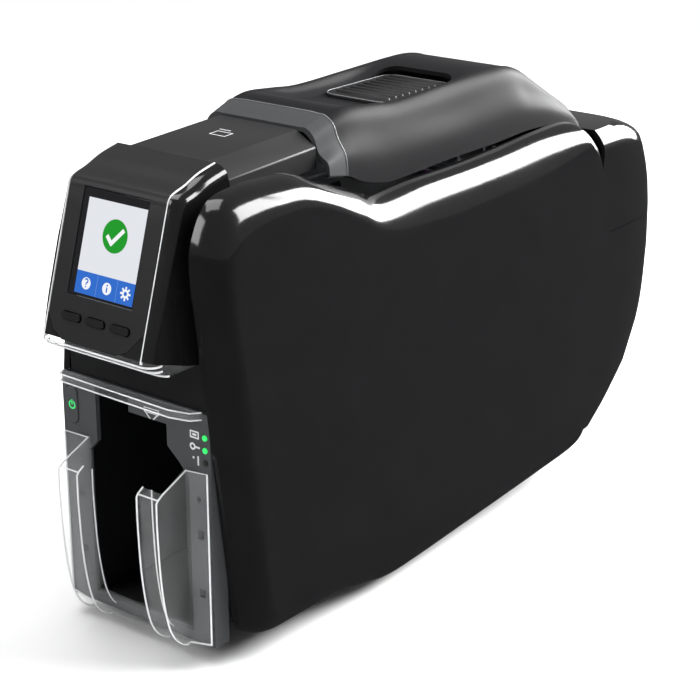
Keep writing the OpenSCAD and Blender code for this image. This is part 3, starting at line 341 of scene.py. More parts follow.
def rolled_panel(edge, roll, rim, face, turns=20, per_span=8):
    """Rings round a panel: at angle a from the rim to the flat face each edge point moves in by
    roll * (1 - cos a) and out by sin a, and the inner skin runs back the same way one wall inside."""
    o, f = closed_curve(edge, per_span), closed_curve(edge + roll, per_span)
    oi, fi = inward(o, WALL), inward(f, WALL / 2)
    a = np.linspace(np.pi / 2, 0, turns + 1)[:, None, None]

    def rings(o, f, face, a):
        q = o + (f - o) * (1 - np.cos(a))
        x = np.broadcast_to(rim + (face - rim) * np.sin(a), q.shape[:2] + (1,))
        return np.concatenate([x, q], 2)

    inner = face - np.sign(face - rim) * WALL
    return skin(np.concatenate([rings(o, f, face, a), rings(oi, fi, inner, a[::-2])]))


door_panel = rolled_panel(door_edge, door_roll, DOOR_IN, DOOR_OUT)
piece("door_shell", door_panel, gloss_black, "door", replaces=["side_door"])

# ---- Left housing -----------------------------------------------------------
# The blind side's shell, moulded like the door with the same back and bottom
# edges. Its front wraps round the fascia, and slots low down cool the boards.

FASCIA_Y, FASCIA_TOP, FASCIA_L, FLANGE = 32.0, 146.0, -59.0, 11.0
SEAM_L, LEFT_X, GAP = -54.0, -63.0, 0.6
SLOT_Y, SLOT_PITCH, SLOT_W, SLOT_Z = 200, 12, 6, (40, 74)
left_edge = np.array([(33.5, 150), (40, 190), (52, 219), (74, 236), (100, 240), (130, 239)] + TOP_EDGE
                     + REAR_EDGE + BOTTOM_EDGE + [(48, 12.5), (36, 20), (32, 45), (32, 100)], float)
left_roll = np.array([(6, -5)] * 4 + [(0, -7)] * 9 + [(-6, 0)] * 7 + [(0, 7)] * 7 + [(6, 3)] * 4, float)
BLOCK_FACES = [[0, 1, 3, 2], [4, 6, 7, 5], [0, 4, 5, 1], [2, 3, 7, 6], [0, 2, 6, 4], [1, 5, 7, 3]]


def block(lo, hi):
    """A box between two corners: lo + (hi - lo) * (0 or 1) on each axis, and its six faces."""
    x, y, z = np.meshgrid([0, 1], [0, 1], [0, 1], indexing="ij")
    points = np.asarray(lo) + np.stack([x, y, z], -1).reshape(-1, 3) * (np.asarray(hi) - np.asarray(lo))
    return points.astype(float), BLOCK_FACES


def combined(shape, others, operation):
    """A closed shape with others taken out of it, joined to it or cutting it down to what they share,
    one after the other."""
    made = []
    for points, faces in [shape] + others:
        mesh = bpy.data.meshes.new("blank")
        mesh.from_pydata(np.asarray(points).tolist(), [], faces)
        tidy = bmesh.new()
        tidy.from_mesh(mesh)
        bmesh.ops.recalc_face_normals(tidy, faces=tidy.faces)
        tidy.to_mesh(mesh)
        tidy.free()
        made.append(bpy.data.objects.new("blank", mesh))
        bpy.context.scene.collection.objects.link(made[-1])
    for other in made[1:]:
        step = made[0].modifiers.new("step", "BOOLEAN")
        step.operation, step.solver, step.object = operation, "EXACT", other
    result = made[0].evaluated_get(bpy.context.evaluated_depsgraph_get()).to_mesh()
    out = np.array([v.co for v in result.vertices], float), [list(f.vertices) for f in result.polygons]
    for o in made:
        bpy.data.objects.remove(o)
    return out


def carved(shape, others):
    """A closed shape with others taken out of it."""
    return combined(shape, others, "DIFFERENCE")


fascia_room = block((FASCIA_L - GAP / 2, FASCIA_Y - 5, 0),
                    (SEAM_L + 1, FASCIA_Y + FLANGE + GAP, FASCIA_TOP + GAP))
slots = [block((LEFT_X - 1, y, SLOT_Z[0]), (LEFT_X + 5, y + SLOT_W, SLOT_Z[1]))
         for y in SLOT_Y + SLOT_PITCH * np.arange(10)]
left_panel = carved(rolled_panel(left_edge, left_roll, SEAM_L, LEFT_X, 12, 6), [fascia_room] + slots)
piece("left_shell", left_panel, gloss_black, replaces=["left_housing"])

# ---- Rear housing and feeder hood -------------------------------------------
# The bulging back in two gloss mouldings: a fixed lower shell with the sockets
# and vents, and the hood over the blank cards, hinged at its top front edge.

HOOD_MID, HOOD_HALF, SEAM_Z, DEPTH = 3.0, 59.0, 158.0, 482.0
FRONT_RIM = [(20, 384), (46, 391.5), (87, 398.2), (140, 399), (158, 399), (184, 396.4), (200, 392),
             (215, 393.5), (240, 393.5)]
BACK_LINE = [(22, 408), (36, 430), (57, 453), (88, 474), (108, 479), (136, 482), (164, 481), (180, 478.5),
             (194, 474), (205, 468.5), (213, 462), (219, 454), (224, 442), (227.5, 428)]
LOW_ROWS = [23, 26, 30, 35, 40, 46, 52, 59, 66, 75, 84, 94, 104, 113, 122, 129, 136, 142, 148, 153, SEAM_Z]
HOOD_ROWS = [158.6, 163, 168, 174, 180, 186, 192, 197, 202, 206, 210, 213, 216, 218, 220, 221.5, 223,
             224.8, 226.5]
FOOT_Z, CROWN_Z, ROOF_Z, ROOF_RISE = 60, 213, 180, 36


def back_rings(rows, d, first=None, last=None):
    """Level sections of the bulge: x = middle + half * |cos a|^0.42 and y = front + length * |sin a|^0.5
    for a from 0 to 180 degrees, closer together near both. half shrinks in a line below FOOT_Z and in a
    parabola above CROWN_Z. The inner skin is d smaller, sinks by d under the roof, and its end rows may
    be moved to the levels first and last."""
    z = np.array(rows, float)
    at = z.copy()
    if first:
        at[0] = first
    if last:
        at[-1] = last
    y0 = np.interp(z, *np.transpose(FRONT_RIM)) - (5 if d else 0)
    y1 = np.interp(z, *np.transpose(BACK_LINE)) - d
    half = HOOD_HALF - np.maximum(0.12 * (FOOT_Z - z).clip(0), 0.045 * (z - CROWN_Z).clip(0)**2) - d
    a = (1 - np.cos(np.linspace(0, np.pi, 97))) / 2 * np.pi
    c, s = np.cos(a)[None, :], np.sin(a)[None, :].clip(0)
    x = HOOD_MID + half[:, None] * np.sign(c) * np.abs(c)**0.42
    y = y0[:, None] + (y1 - y0)[:, None] * s**0.5
    level = (at - d * np.clip((z - ROOF_Z) / ROOF_RISE, 0, 1))[:, None]
    return np.stack([x, y, np.broadcast_to(level, x.shape)], 2)


PORT_A, PORT_B, PORT_Y = (-38, 51), (22, 99), DEPTH - 36  # the pocket's corners in x and z, and its floor


def pocket(grown, y0, y1):
    """A block over the socket pocket, grown by an amount all round."""
    return block((PORT_A[0] - grown, y0, PORT_A[1] - grown), (PORT_B[0] + grown, y1, PORT_B[1] + grown))


rear_room = carved(skin(back_rings(LOW_ROWS, WALL, 20, SEAM_Z + 5)), [pocket(WALL, PORT_Y - WALL, DEPTH)])
rear_cuts = [rear_room, pocket(0, PORT_Y, DEPTH + 5), pocket(-4, PORT_Y - 5, PORT_Y + 5)]
rear_cuts += [block((x, DEPTH - 30, 106), (x + 4, DEPTH + 5, 142)) for x in range(-20, 29, 8)]
piece("rear_shell", carved(skin(back_rings(LOW_ROWS, 0)), rear_cuts), gloss_black, replaces=["rear_housing"])
hood_room = skin(back_rings(HOOD_ROWS, WALL, 153))
hood_shell = carved(skin(back_rings(HOOD_ROWS, 0)), [hood_room])
piece("hood_shell", hood_shell, gloss_black, "hood", replaces=["feeder_hood"])

# ---- Top cover and release pad ----------------------------------------------
# A satin moulding over the ribbon and the card path: an arch at the front, a
# dished saddle with the release pad, a ridge, and a ramp down to the hood.

# the second tone is a painted reflection, laid on the front of the arch up to the given y, where the lights
# shine on its chamfer
SATIN_TONE, ARCH_REFLECTION_TONE, ARCH_REFLECTION_END = (0.011, 0.011, 0.012), (0.06, 0.062, 0.064), 145.5
satin_black = moulding("black_satin_abs", SATIN_TONE, 0.4, 900, 0.00004, Specular_IOR_Level=0.3)
CORE_R = 48.4
# y, then the heights of the seam, the shoulder, the rim and the saddle's floor, and the half width
COVER_ROWS = [(131, 251, 264, 274.2, 274.4, 41.5), (146, 248, 269, 278.4, 279.4, 42.5),
              (160, 242, 270, 280.5, 280.5, 43), (182, 237, 267, 278.6, 274, 43.5),
              (206, 237, 266, 276.5, 270, 43.5), (250, 238, 265, 277.5, 270, 43.5),
              (288, 238, 268, 278.6, 278.4, 43.5), (312, 239, 268, 278, 278, 43.5),
              (330, 239, 262.5, 273.5, 273.5, 43.5), (348, 238, 256.5, 263, 263, 44),
              (363, 236, 249.5, 253.5, 253.5, 45), (376, 233, 243, 245, 245, 45.5),
              (383, 230, 236, 237, 237.6, 45.5)]


def cover_rings(rows):
    """Closed sections across the machine: half a profile from the seam up the flank, over the rim and
    down to the floor of the saddle, mirrored, with its copy drawn in and down by one wall."""
    rings = []
    for y, seam, shoulder, rim, floor, half in rows:
        h = open_curve([(CORE_R, seam), (CORE_R - 1.2, (seam + shoulder) / 2), (half - 0.5, shoulder - 2),
                        (half - 4, shoulder * 0.4 + rim * 0.6), (half - 9, rim),
                        (half - 14, rim * 0.4 + floor * 0.6), (half - 19, floor)], 6)
        top = np.concatenate([h * (-1, 1), h[::-1]])
        drop = np.stack([0 * top[:, 0], WALL * (abs(top[:, 0]) < CORE_R)], 1)
        under = top * (1 - WALL / CORE_R, 1) - drop
        rings.append(np.insert(np.concatenate([top, under[::-1]]), 1, y, axis=1))
    return rings


def rounded(a, b, r):
    """A rounded rectangle between corners a and b, anticlockwise from its lower right corner: each
    corner is its centre plus r (cos k, sin k) over a quarter turn."""
    k = np.radians(np.linspace(0, 90, 9))
    turns = [(b[0] - r, a[1] + r, -90), (b[0] - r, b[1] - r, 0), (a[0] + r, b[1] - r, 90),
             (a[0] + r, a[1] + r, 180)]
    return np.concatenate([np.stack([x + r * np.cos(k + np.radians(q)), y + r * np.sin(k + np.radians(q))], 1)
                           for x, y, q in turns])


def slab(outline, lo, hi, axis=2):
    """An outline swept along one axis from lo to hi."""
    return skin([np.insert(np.asarray(outline, float), axis, level, axis=1) for level in (lo, hi)])


def joined(shape, others):
    """A closed shape and others as one."""
    return combined(shape, others, "UNION")


def drawn_axes(finish):
    """A finish's x, y and z as wires in the drawing's millimetres."""
    return [axis * 1000 - float(start) for axis, start in zip(finish.axes(), MACHINE)]


PAD_A, PAD_B, PAD_Z, PAD_GAP = (-25, 214), (25, 280), 271.5, 0.7
pad_hole = slab(rounded(np.subtract(PAD_A, PAD_GAP), np.add(PAD_B, PAD_GAP), 10), 240, 300)
cover_black = moulding("cover_black", SATIN_TONE, 0.46, 900, 0.00004, Specular_IOR_Level=0.08)
# the front of the arch is painted the lighter tone: a painted reflection of the lights on its chamfer
painted_arch_reflection = drawn_axes(cover_black)[1].under(ARCH_REFLECTION_END)
cover_black.set(Base_Color=cover_black.blend(painted_arch_reflection, SATIN_TONE, ARCH_REFLECTION_TONE))
cover_skin = cover_rings(open_curve(COVER_ROWS, 6))
piece("top_cover_shell", carved(skin(cover_skin, arch=True), [pad_hole]), cover_black,
      replaces=["top_cover"])
pad_ribs = [block((PAD_A[0] + 6, y, PAD_Z - 1), (PAD_B[0] - 6, y + 2, PAD_Z + 1.2))
            for y in PAD_A[1] + 7 + 6.4 * np.arange(9)]
pad_legs = [block((x, 258, 226.3), (x + 2, 270, PAD_Z - 4)) for x in (-8, 6)]
pad = joined(slab(rounded(PAD_A, PAD_B, 9.5), PAD_Z - 5, PAD_Z), pad_ribs + pad_legs)
piece("pad", pad, satin_black, "release", replaces=["release_pad"], bevel=0.5)

# ---- Front cover ------------------------------------------------------------
# The rounded satin shell behind the display head, clipped between the two side
# panels. It is open at the back, and a recess in its front takes the head.

COVER_ROUND, COVER_TOP, COVER_L = 22, 250, SEAM_L + GAP
COVER_FRONT, COVER_BACK, CAP_Y = 34, 118, 60.6
HEAD_HALF, FIT = 40.0, 0.3


def arch_outline(d):
    """Half-round topped outline across the machine, drawn in by d."""
    k = np.radians(np.linspace(0, 90, 13))[:, None]
    r, top = COVER_ROUND - d, COVER_TOP - COVER_ROUND
    right = np.concatenate([CORE_R - COVER_ROUND + r * np.cos(k), top + r * np.sin(k)], 1)
    left = np.concatenate([COVER_L + COVER_ROUND - r * np.sin(k), top + r * np.cos(k)], 1)
    foot = FASCIA_TOP + GAP
    return np.concatenate([[(CORE_R - d, foot)], right, left, [(COVER_L + d, foot)]])


head_room = block((-HEAD_HALF - FIT, 32, 170.9), (HEAD_HALF + FIT, CAP_Y, 260))
cover_room = slab(arch_outline(WALL), COVER_FRONT + WALL, COVER_BACK + 1, 1)
front_shell = carved(slab(arch_outline(0), COVER_FRONT, COVER_BACK, 1), [cover_room, head_room])
piece("front_cover_shell", front_shell, satin_black, replaces=["front_cover"], bevel=0.6)

# ---- Display head -----------------------------------------------------------
# A glossy black frame rolls round the sides of a satin face plate that leans
# back from the chin. The foot of the frame is a clear light guide.

LEAN, FACE_Y, FACE_Z = np.radians(17), 15.0, 228.5
PLATE_L, PLATE_R, CHIN_H = -35.5, 31.5, -49.5


def face_at(h):
    """The point of the face at a height along it, measured from its middle."""
    return np.array([FACE_Y + h * np.sin(LEAN), FACE_Z + h * np.cos(LEAN)])


def leaning(shape):
    """A shape drawn as x, depth d into the face and height h along it, leant back by LEAN:
    y = FACE_Y + h sin + d cos, z = FACE_Z + h cos - d sin."""
    x, d, h = np.asarray(shape[0], float).T
    y, z = FACE_Y + h * np.sin(LEAN) + d * np.cos(LEAN), FACE_Z + h * np.cos(LEAN) - d * np.sin(LEAN)
    return np.stack([x, y, z], 1), shape[1]


def beside(line, d):
    """An open line moved by d along its normals."""
    t = np.gradient(line, axis=0)
    return line + d * np.stack([t[:, 1], -t[:, 0]], 1) / np.linalg.norm(t, axis=1)[:, None]


def strip(line, t):
    """The outline of a strip of thickness t beside a line."""
    line = np.asarray(line, float)
    return np.concatenate([line, beside(line, t)[::-1]])


brow = open_curve([(59, 270.5), (46, 267.5), (36, 263.5), face_at(33) + (1.2, 0), face_at(27)], 8)
brow_roll = open_curve([(1, -6.5), (1, -6.5), (3, -5.7), (4.5, -5), (4.5, -5)], 8)
face_line = np.concatenate([brow, [face_at(h) for h in (18, 9, 0, -15, -30, -40, -51)]])
chin_line = [face_at(-53) + (0.5, 0), face_at(-56) + (4, 0), (9, 171.5)]
head_section = np.concatenate([[(59, 171.5)], face_line, chin_line])
side_roll = np.concatenate([[(0, 0)], brow_roll, [(4.2, -3), (3.6, -1.5), (3, 0), (3, 0), (3, 0), (4.5, 0.5),
                                                  (7.5, 1), (7, 0.5), (4.5, 0.5), (3, 0)]])


def face_outline(d):
    """The face plate's outline in x and height along the face, drawn in by d."""
    return [(PLATE_L + d, 80), (PLATE_L + d, -38), (PLATE_L + 5, -46 + d), (PLATE_L + 12, -50 + d),
            (PLATE_R - 16, -50 + d), (PLATE_R - 9, -47 + d), (PLATE_R - d, -36), (PLATE_R - d, 80)]


def face_block(lo, hi):
    """A block between two corners given as x, depth into the face and height along it."""
    return leaning(block(lo, hi))


def head_ring(x, amount):
    """The head's side section at x, with its edge moved in by an amount of its roll."""
    return np.insert(head_section + amount * side_roll, 0, x, axis=1)


turn = np.linspace(np.pi / 2, 0, 9)
head_rings = [head_ring(PLATE_L + (-HEAD_HALF - PLATE_L) * np.sin(a), 1 - np.cos(a)) for a in turn]
head_rings += [head_ring(PLATE_R + (HEAD_HALF - PLATE_R) * np.sin(a), 1 - np.cos(a)) for a in turn[::-1]]
head_frame = carved(skin(head_rings), [leaning(slab(face_outline(-FIT), -30, 60, 1)),
                                       block((WALL - HEAD_HALF, 22, 150), (HEAD_HALF - WALL, 90, 240)),
                                       block((-34.5, 34, 200), (34.5, 90, 250))])
glossy_frame = carved(head_frame, [face_block((-60, -60, -90), (60, 60, CHIN_H))])
piece("head_frame", glossy_frame, gloss_black, replaces=["light_bezel"])
clear_plastic = Finish("clear_polycarbonate", (0.8, 0.82, 0.83), Coat_Weight=0.5, Specular_IOR_Level=0.8)
clear_plastic.set(Roughness=clear_plastic.noise(60) * 0.06 + 0.04,
                  Alpha=clear_plastic.noise(35) * 0.09 + 0.01)
# pale beads along clear and glossy edges: a painted highlight where the edges catch the lights
painted_edge_highlight = Finish("clear_edge_highlight", (0.95, 0.96, 0.97), Coat_Weight=1.0)
painted_edge_highlight.set(Roughness=painted_edge_highlight.noise(80) * 0.1 + 0.1,
                  Alpha=painted_edge_highlight.noise(120) * 0.4 + 0.65)


def bead(path, r=0.5, n=8):
    """A round bead of radius r along a path: a circle carried by a frame that turns with the tangent."""
    p = np.asarray(path, float)
    t = np.gradient(p, axis=0)
    u, rings = np.cross(t[0], (0.3, 0.5, 0.8)), []
    a = 2 * np.pi * np.arange(n)[:, None] / n
    for q, d in zip(p, t / np.linalg.norm(t, axis=1)[:, None]):
        u = u - d * np.dot(u, d)
        u = u / np.linalg.norm(u)
        rings.append(q + r * (np.cos(a) * u + np.sin(a) * np.cross(d, u)))
    return skin(rings)


def merged(shapes):
    """Several closed shapes as one mesh."""
    points, faces = [], []
    for p, f in shapes:
        start = sum(map(len, points))
        faces += [[i + start for i in face] for face in f]
        points.append(p)
    return np.concatenate(points), faces


light_guide = carved(head_frame, [face_block((-60, -60, CHIN_H + 0.2), (60, 90, 90))])
piece("head_light_guide", light_guide, clear_plastic, replaces=["light_bezel"])

# pale beads of painted highlight: three along the clear foot, one down each long edge of the face, and one
# over the brow's right end
chin_beads = [bead([section[k] + (0, 0.62, 0.3) for section in head_rings], 0.55) for k in (-1, -2, -3)]
edge_beads = [bead(head_rings[k][2:-3] + (dx, 0.6, -0.2), 0.75) for k, dx in ((9, 0.8), (8, -0.8))]
edge_beads += [bead(head_rings[-1][2:16] + (-0.5, 0.5, -0.5), 0.5)]
piece("head_edge_highlights", merged(chin_beads + edge_beads), painted_edge_highlight,
      replaces=["light_bezel"])

GLASS_A, GLASS_B = (-24.5, -25.8), (20.6, 29.3)
KEY_X, KEY_W, KEY_H = (-18.8, -1.9, 15.4), 13.2, -37.2


def key_outline(x, half_h, r, grown=0.0):
    """The rounded outline of the select button at x, or of the hole it moves in."""
    return rounded((x - KEY_W / 2 - grown, KEY_H - half_h), (x + KEY_W / 2 + grown, KEY_H + half_h), r)


face_blank = slab(strip(face_line, -WALL), PLATE_L, PLATE_R, 0)
face_plate = combined(face_blank, [leaning(slab(face_outline(0), -30, 60, 1))], "INTERSECT")
face_cuts = [face_block((GLASS_A[0] - FIT, -5, GLASS_A[1] - FIT), (GLASS_B[0] + FIT, 5, GLASS_B[1] + FIT))]
face_cuts += [leaning(slab(key_outline(x, 2.3, 2.2, FIT), -5, 5, 1)) for x in KEY_X]
piece("face_plate", carved(face_plate, face_cuts), satin_black, replaces=["face_shell"], bevel=0.4)

# ---- Display ----------------------------------------------------------------
# A black-masked cover glass over a lit panel. The picture is plain colour areas
# with a tick in a circle and three generic symbols on a blue bar, and no words.

MASK, PAPER, TICK_WHITE = (0.003, 0.003, 0.004), (0.72, 0.74, 0.78), (0.85, 0.87, 0.88)
BLUE, LINE_BLUE, GREEN, PALE = (0.02, 0.135, 0.56), (0.16, 0.3, 0.62), (0.004, 0.29, 0.012), (0.85, 0.87, 0.9)
SCREEN_X, SCREEN_TOP, BAR_TOP, BAR_FOOT = 20.4, 24.6, -12.9, -24.4
HELP_X, NOTE_X, WHEEL_X, SIGN_H = -13.0, 1.6, 14.6, -18.8  # the three symbols on the bar
glass = Finish("screen_glass", (0.004, 0.004, 0.005))
glass_x, glass_y, glass_z = drawn_axes(glass)
glass_h = (glass_y - FACE_Y) * float(np.sin(LEAN)) + (glass_z - FACE_Z) * float(np.cos(LEAN))
screen = glass_x, glass_h


def within(on, x0, x1, y0, y1):
    """1 between two values of each of the two coordinates on, and 0 elsewhere."""
    return on[0].over(x0) * on[0].under(x1) * on[1].over(y0) * on[1].under(y1)


def distance(on, x, y):
    """The root of the sum of the squares of both coordinates' distances from (x, y)."""
    across, up = on[0] - x, on[1] - y
    return (across * across + up * up).root()


def disc(on, x, y, r):
    return distance(on, x, y).under(r)


def ring(on, x, y, r, half):
    return (distance(on, x, y) - r).size().under(half)


def stroke(on, a, b, half):
    """1 within half of the line from a to b: the distance to it, and the run along it, stay inside."""
    length = float(np.hypot(b[0] - a[0], b[1] - a[1]))
    ux, uy = (b[0] - a[0]) / length, (b[1] - a[1]) / length
    along = (on[0] - a[0]) * ux + (on[1] - a[1]) * uy
    across = ((on[0] - a[0]) * uy - (on[1] - a[1]) * ux).size()
    return across.under(half) * along.over(-half * 0.8) * along.under(length + half * 0.8)


tick = stroke(screen, (-3.6, 6.9), (-0.6, 3.9), 1.1).most(stroke(screen, (-0.6, 3.9), (6.2, 11.2), 1.1))
question = ring(screen, HELP_X, -17.5, 1.0, 0.4) * (glass_x + glass_h).over(-31.2)
question = question.most(disc(screen, HELP_X, -20.5, 0.42))
question = question.most(within(screen, HELP_X - 0.35, HELP_X + 0.35, -19.6, -18.3))
notice = disc(screen, NOTE_X, -17.1, 0.5).most(within(screen, NOTE_X - 0.45, NOTE_X + 0.45, -20.7, -18.1))
wheel = disc(screen, WHEEL_X, SIGN_H, 2.2)
for k in range(4):
    c, s = 3.1 * np.cos(k * np.pi / 4), 3.1 * np.sin(k * np.pi / 4)
    wheel = wheel.most(stroke(screen, (WHEEL_X - c, SIGN_H - s), (WHEEL_X + c, SIGN_H + s), 0.55))
picture = MASK
for area, colour in [(within(screen, -SCREEN_X, SCREEN_X, BAR_TOP, SCREEN_TOP), PAPER),
                     (within(screen, -SCREEN_X, SCREEN_X, BAR_FOOT, BAR_TOP), BLUE),
                     (within(screen, -5.72, -5.48, BAR_FOOT, BAR_TOP), LINE_BLUE),
                     (within(screen, 8.18, 8.42, BAR_FOOT, BAR_TOP), LINE_BLUE),
                     (disc(screen, 1.3, 7.9, 8.6), GREEN), (tick, TICK_WHITE),
                     (disc(screen, HELP_X, SIGN_H, 3.1), PALE), (question, BLUE),
                     (disc(screen, NOTE_X, SIGN_H, 3.1), PALE), (notice, BLUE),
                     (wheel, PALE), (disc(screen, WHEEL_X, SIGN_H, 1.1), BLUE)]:
    picture = glass.blend(area, picture, colour)
glass.set(Emission_Color=picture, Emission_Strength=1.05, Roughness=glass.noise(40) * 0.04 + 0.02)
glass_pane = face_block((GLASS_A[0], 0.2, GLASS_A[1]), (GLASS_B[0], 1.6, GLASS_B[1]))
piece("glass", glass_pane, glass, replaces=["screen_glass"], bevel=0.25)

# ---- Select buttons ---------------------------------------------------------
# Three oval rockers in gloss black under the glass, each on its own spring
# tongue, so each slides into the face by less than a millimetre.

for name, x in zip(("left_key", "middle_key", "right_key"), KEY_X):
    oval = slab(key_outline(x, 2, 1.95), -1.2, 1.8, 1)
    stem = block((x - 1.5, 1.7, KEY_H - 1), (x + 1.5, 2.6, KEY_H + 1))
    piece(name + "_cap", leaning(joined(oval, [stem])), gloss_black, name, [name],
          bevel=0.7)

# ---- Painted highlight lines of the top cover -------------------------------
# A narrow raised bead in light grey, a painted highlight where the edges catch
# the lights, runs over the arch and round the release pad.

# light grey that stands for a painted highlight, not for the plastic's own tone
highlight_line_grey = moulding("highlight_line_grey", (0.16, 0.165, 0.17), 0.3, 900, 0.00002)
arch_ring = cover_skin[6][:len(cover_skin[6]) // 2]
piece("arch_highlight_line", bead(arch_ring, 0.4), highlight_line_grey, replaces=["top_cover"])
pad_ring = [(x, y, PAD_Z - 0.1) for x, y in rounded(np.add(PAD_A, 0.3), np.subtract(PAD_B, 0.3), 9.2)]
piece("pad_highlight_line", bead(pad_ring + pad_ring[:1], 0.35), highlight_line_grey, "release",
      ["release_pad"])

# ---- Head cap ---------------------------------------------------------------
# The matt black lid of the head, climbing a little to the back, with broad
# chamfers along both sides. A small outlined card is printed on it in light grey.

CAP_TONE, PRINT_TONE = (0.013, 0.013, 0.014), (0.55, 0.55, 0.56)
CAP_BACK, CAP_Z, CAP_RISE = 130.4, 250.4, np.radians(2.6)
cap_black = moulding("cap_black", CAP_TONE, 0.45, 900, 0.00004, Specular_IOR_Level=0.35)
cap_x, cap_y, cap_z = drawn_axes(cap_black)


def patch(on, x, y, half_w, half_h):
    """1 inside a rectangle about (x, y)."""
    return within(on, x - half_w, x + half_w, y - half_h, y + half_h)


def outlined(on, x, y, half_w, half_h, line):
    """1 on the outline of that rectangle, drawn as wide as line."""
    return patch(on, x, y, half_w, half_h) - patch(on, x, y, half_w - line, half_h - line)


card_mark = outlined((cap_x, cap_y), -1.0, 101.0, 5.6, 3.6, 0.8)
card_mark = card_mark.most(patch((cap_x, cap_y), -4.0, 107.5, 4.0, 0.45)) * cap_z.over(268)
cap_black.set(Base_Color=cap_black.blend(card_mark, CAP_TONE, PRINT_TONE))


def cap_outline(d):
    """The cap's section with its chamfers, drawn in by d; the chamfers move in by a third of it."""
    w, h = HEAD_HALF - d, 20 - d
    return [(-w, 0), (-w, 12 - d / 2), (-w + 13 - d / 3, h), (w - 13 + d / 3, h), (w, 12 - d / 2), (w, 0)]


def raised(shape):
    """The cap's own frame, tipped by CAP_RISE about its front foot: y = CAP_Y + y cos - z sin and
    z = CAP_Z + y sin + z cos."""
    x, y, z = np.asarray(shape[0], float).T
    c, s = np.cos(CAP_RISE), np.sin(CAP_RISE)
    return np.stack([x, CAP_Y + y * c - z * s, CAP_Z + y * s + z * c], 1), shape[1]


cap = raised(slab(cap_outline(0) + cap_outline(WALL)[::-1], 0.1, CAP_BACK - CAP_Y, 1))
piece("cap", cap, cap_black, replaces=["head_top_cap"], bevel=0.7)

# ---- Fascia -----------------------------------------------------------------
# The dark grey front plate under the head, with the mouth for finished cards.
# White generic symbols stand beside the three status lights and over the mouth.

GREY_TONE, MARK_TONE = (0.056, 0.059, 0.062), (0.62, 0.63, 0.64)
BAY_L, BAY_R, PATH_Z, CARD_X = -40.5, 33.0, 125.0, -5.0
LIGHT_X, LIGHT_Z, LIGHT_PITCH = CORE_R - 3.4, 133.0, 7
FEED_X, HOOK_Z = 7.5, (40, 74)
MOUTH_TOP = PATH_Z + 18.5
POWER_L, POWER_R = FASCIA_L + 2.6, BAY_L - 6.6
fascia_grey = moulding("grey_fascia_abs", GREY_TONE, 0.5, 900, 0.00004)
fascia_x, fascia_y, fascia_z = drawn_axes(fascia_grey)
plate = fascia_x, fascia_z
card_sign = outlined(plate, 37.6, 133.2, 3.1, 2.1, 0.8).most(patch(plate, 37.6, 133.2, 1.4, 0.6))
key_sign = ring(plate, 36.2, 126.4, 1.5, 0.5).most(patch(plate, 39.4, 126.4, 1.8, 0.5))
note_sign = patch(plate, 39.8, 119.0, 0.5, 2.6).most(patch(plate, 36.6, 120.2, 0.6, 0.6))
slope = (fascia_x - FEED_X).size() - (fascia_z - 132.4)
arrow = fascia_z.over(133.4) * fascia_z.under(138.0) * slope.under(0) * slope.over(-1.1)
feed_sign = outlined(plate, FEED_X, 138.6, 5.4, 1.5, 0.5).most(arrow)
marks = card_sign.most(key_sign).most(note_sign).most(feed_sign) * fascia_y.under(FASCIA_Y + 0.2)
fascia_grey.set(Base_Color=fascia_grey.blend(marks, GREY_TONE, MARK_TONE))

mouth = [(BAY_L, 18), (BAY_L, 104), (BAY_L + 6.5, 111), (BAY_L + 6.5, MOUTH_TOP), (CARD_X - 4.4, MOUTH_TOP),
         (CARD_X - 4.4, MOUTH_TOP - 9.5), (CARD_X + 23, MOUTH_TOP - 9.5), (CARD_X + 23, 122),
         (BAY_R - 7, 115), (BAY_R, 107), (BAY_R, 18)]
left_flange = block((FASCIA_L, FASCIA_Y + 2, 12), (FASCIA_L + 2, FASCIA_Y + FLANGE, FASCIA_TOP))
right_flange = block((CORE_R - 2, FASCIA_Y + 2, 12), (CORE_R, FASCIA_Y + FLANGE, LIGHT_Z - 19))
fascia_plate = joined(block((FASCIA_L, FASCIA_Y, 12), (CORE_R, FASCIA_Y + 3, FASCIA_TOP)),
                      [left_flange, right_flange])


def round_hole(x, z, r=1.6):
    """A rod through the fascia: x + r cos a, z + r sin a."""
    a = np.linspace(0, 2 * np.pi, 25)[:-1]
    return slab(np.stack([x + r * np.cos(a), z + r * np.sin(a)], 1), 31, 52, 1)


power_hole = slab(rounded((POWER_L, PATH_Z - 8), (POWER_R, PATH_Z + 14), 4), 31, 52, 1)
fascia_cuts = [slab(mouth, 30, 52, 1), power_hole]
fascia_cuts += [block((x, 31, z), (x + 4.4, 52, z + 5)) for z in HOOK_Z for x in (BAY_R + 5, BAY_L - 9)]
fascia_cuts += [round_hole(x, 97) for x in (BAY_L - 6, BAY_R + 6.5)]
fascia_cuts += [round_hole(LIGHT_X, LIGHT_Z - LIGHT_PITCH * i) for i in range(3)]
piece("fascia_plate", carved(fascia_plate, fascia_cuts), fascia_grey, replaces=["front_fascia"], bevel=0.35)

# ---- Output hopper and feed lip ---------------------------------------------
# Two clear moulded arms that catch the cards, each with a curved front strip, a
# side wall and a return lip, tied by a web at the foot. The lip is clear too.

HOP_BACK, HOP_WALL, ARM_W, ARM_RIM = FASCIA_Y - 0.4, 1.8, 15.0, 113.0
ARM_L, ARM_R, HOOK_W = BAY_L + 0.4, BAY_R - 0.4, 3.4
arm_front = open_curve([(7.5, 101), (7.5, 84), (9, 55), (12.5, 32), (17, 20), (23, 13.5), (28, 11)], 6)


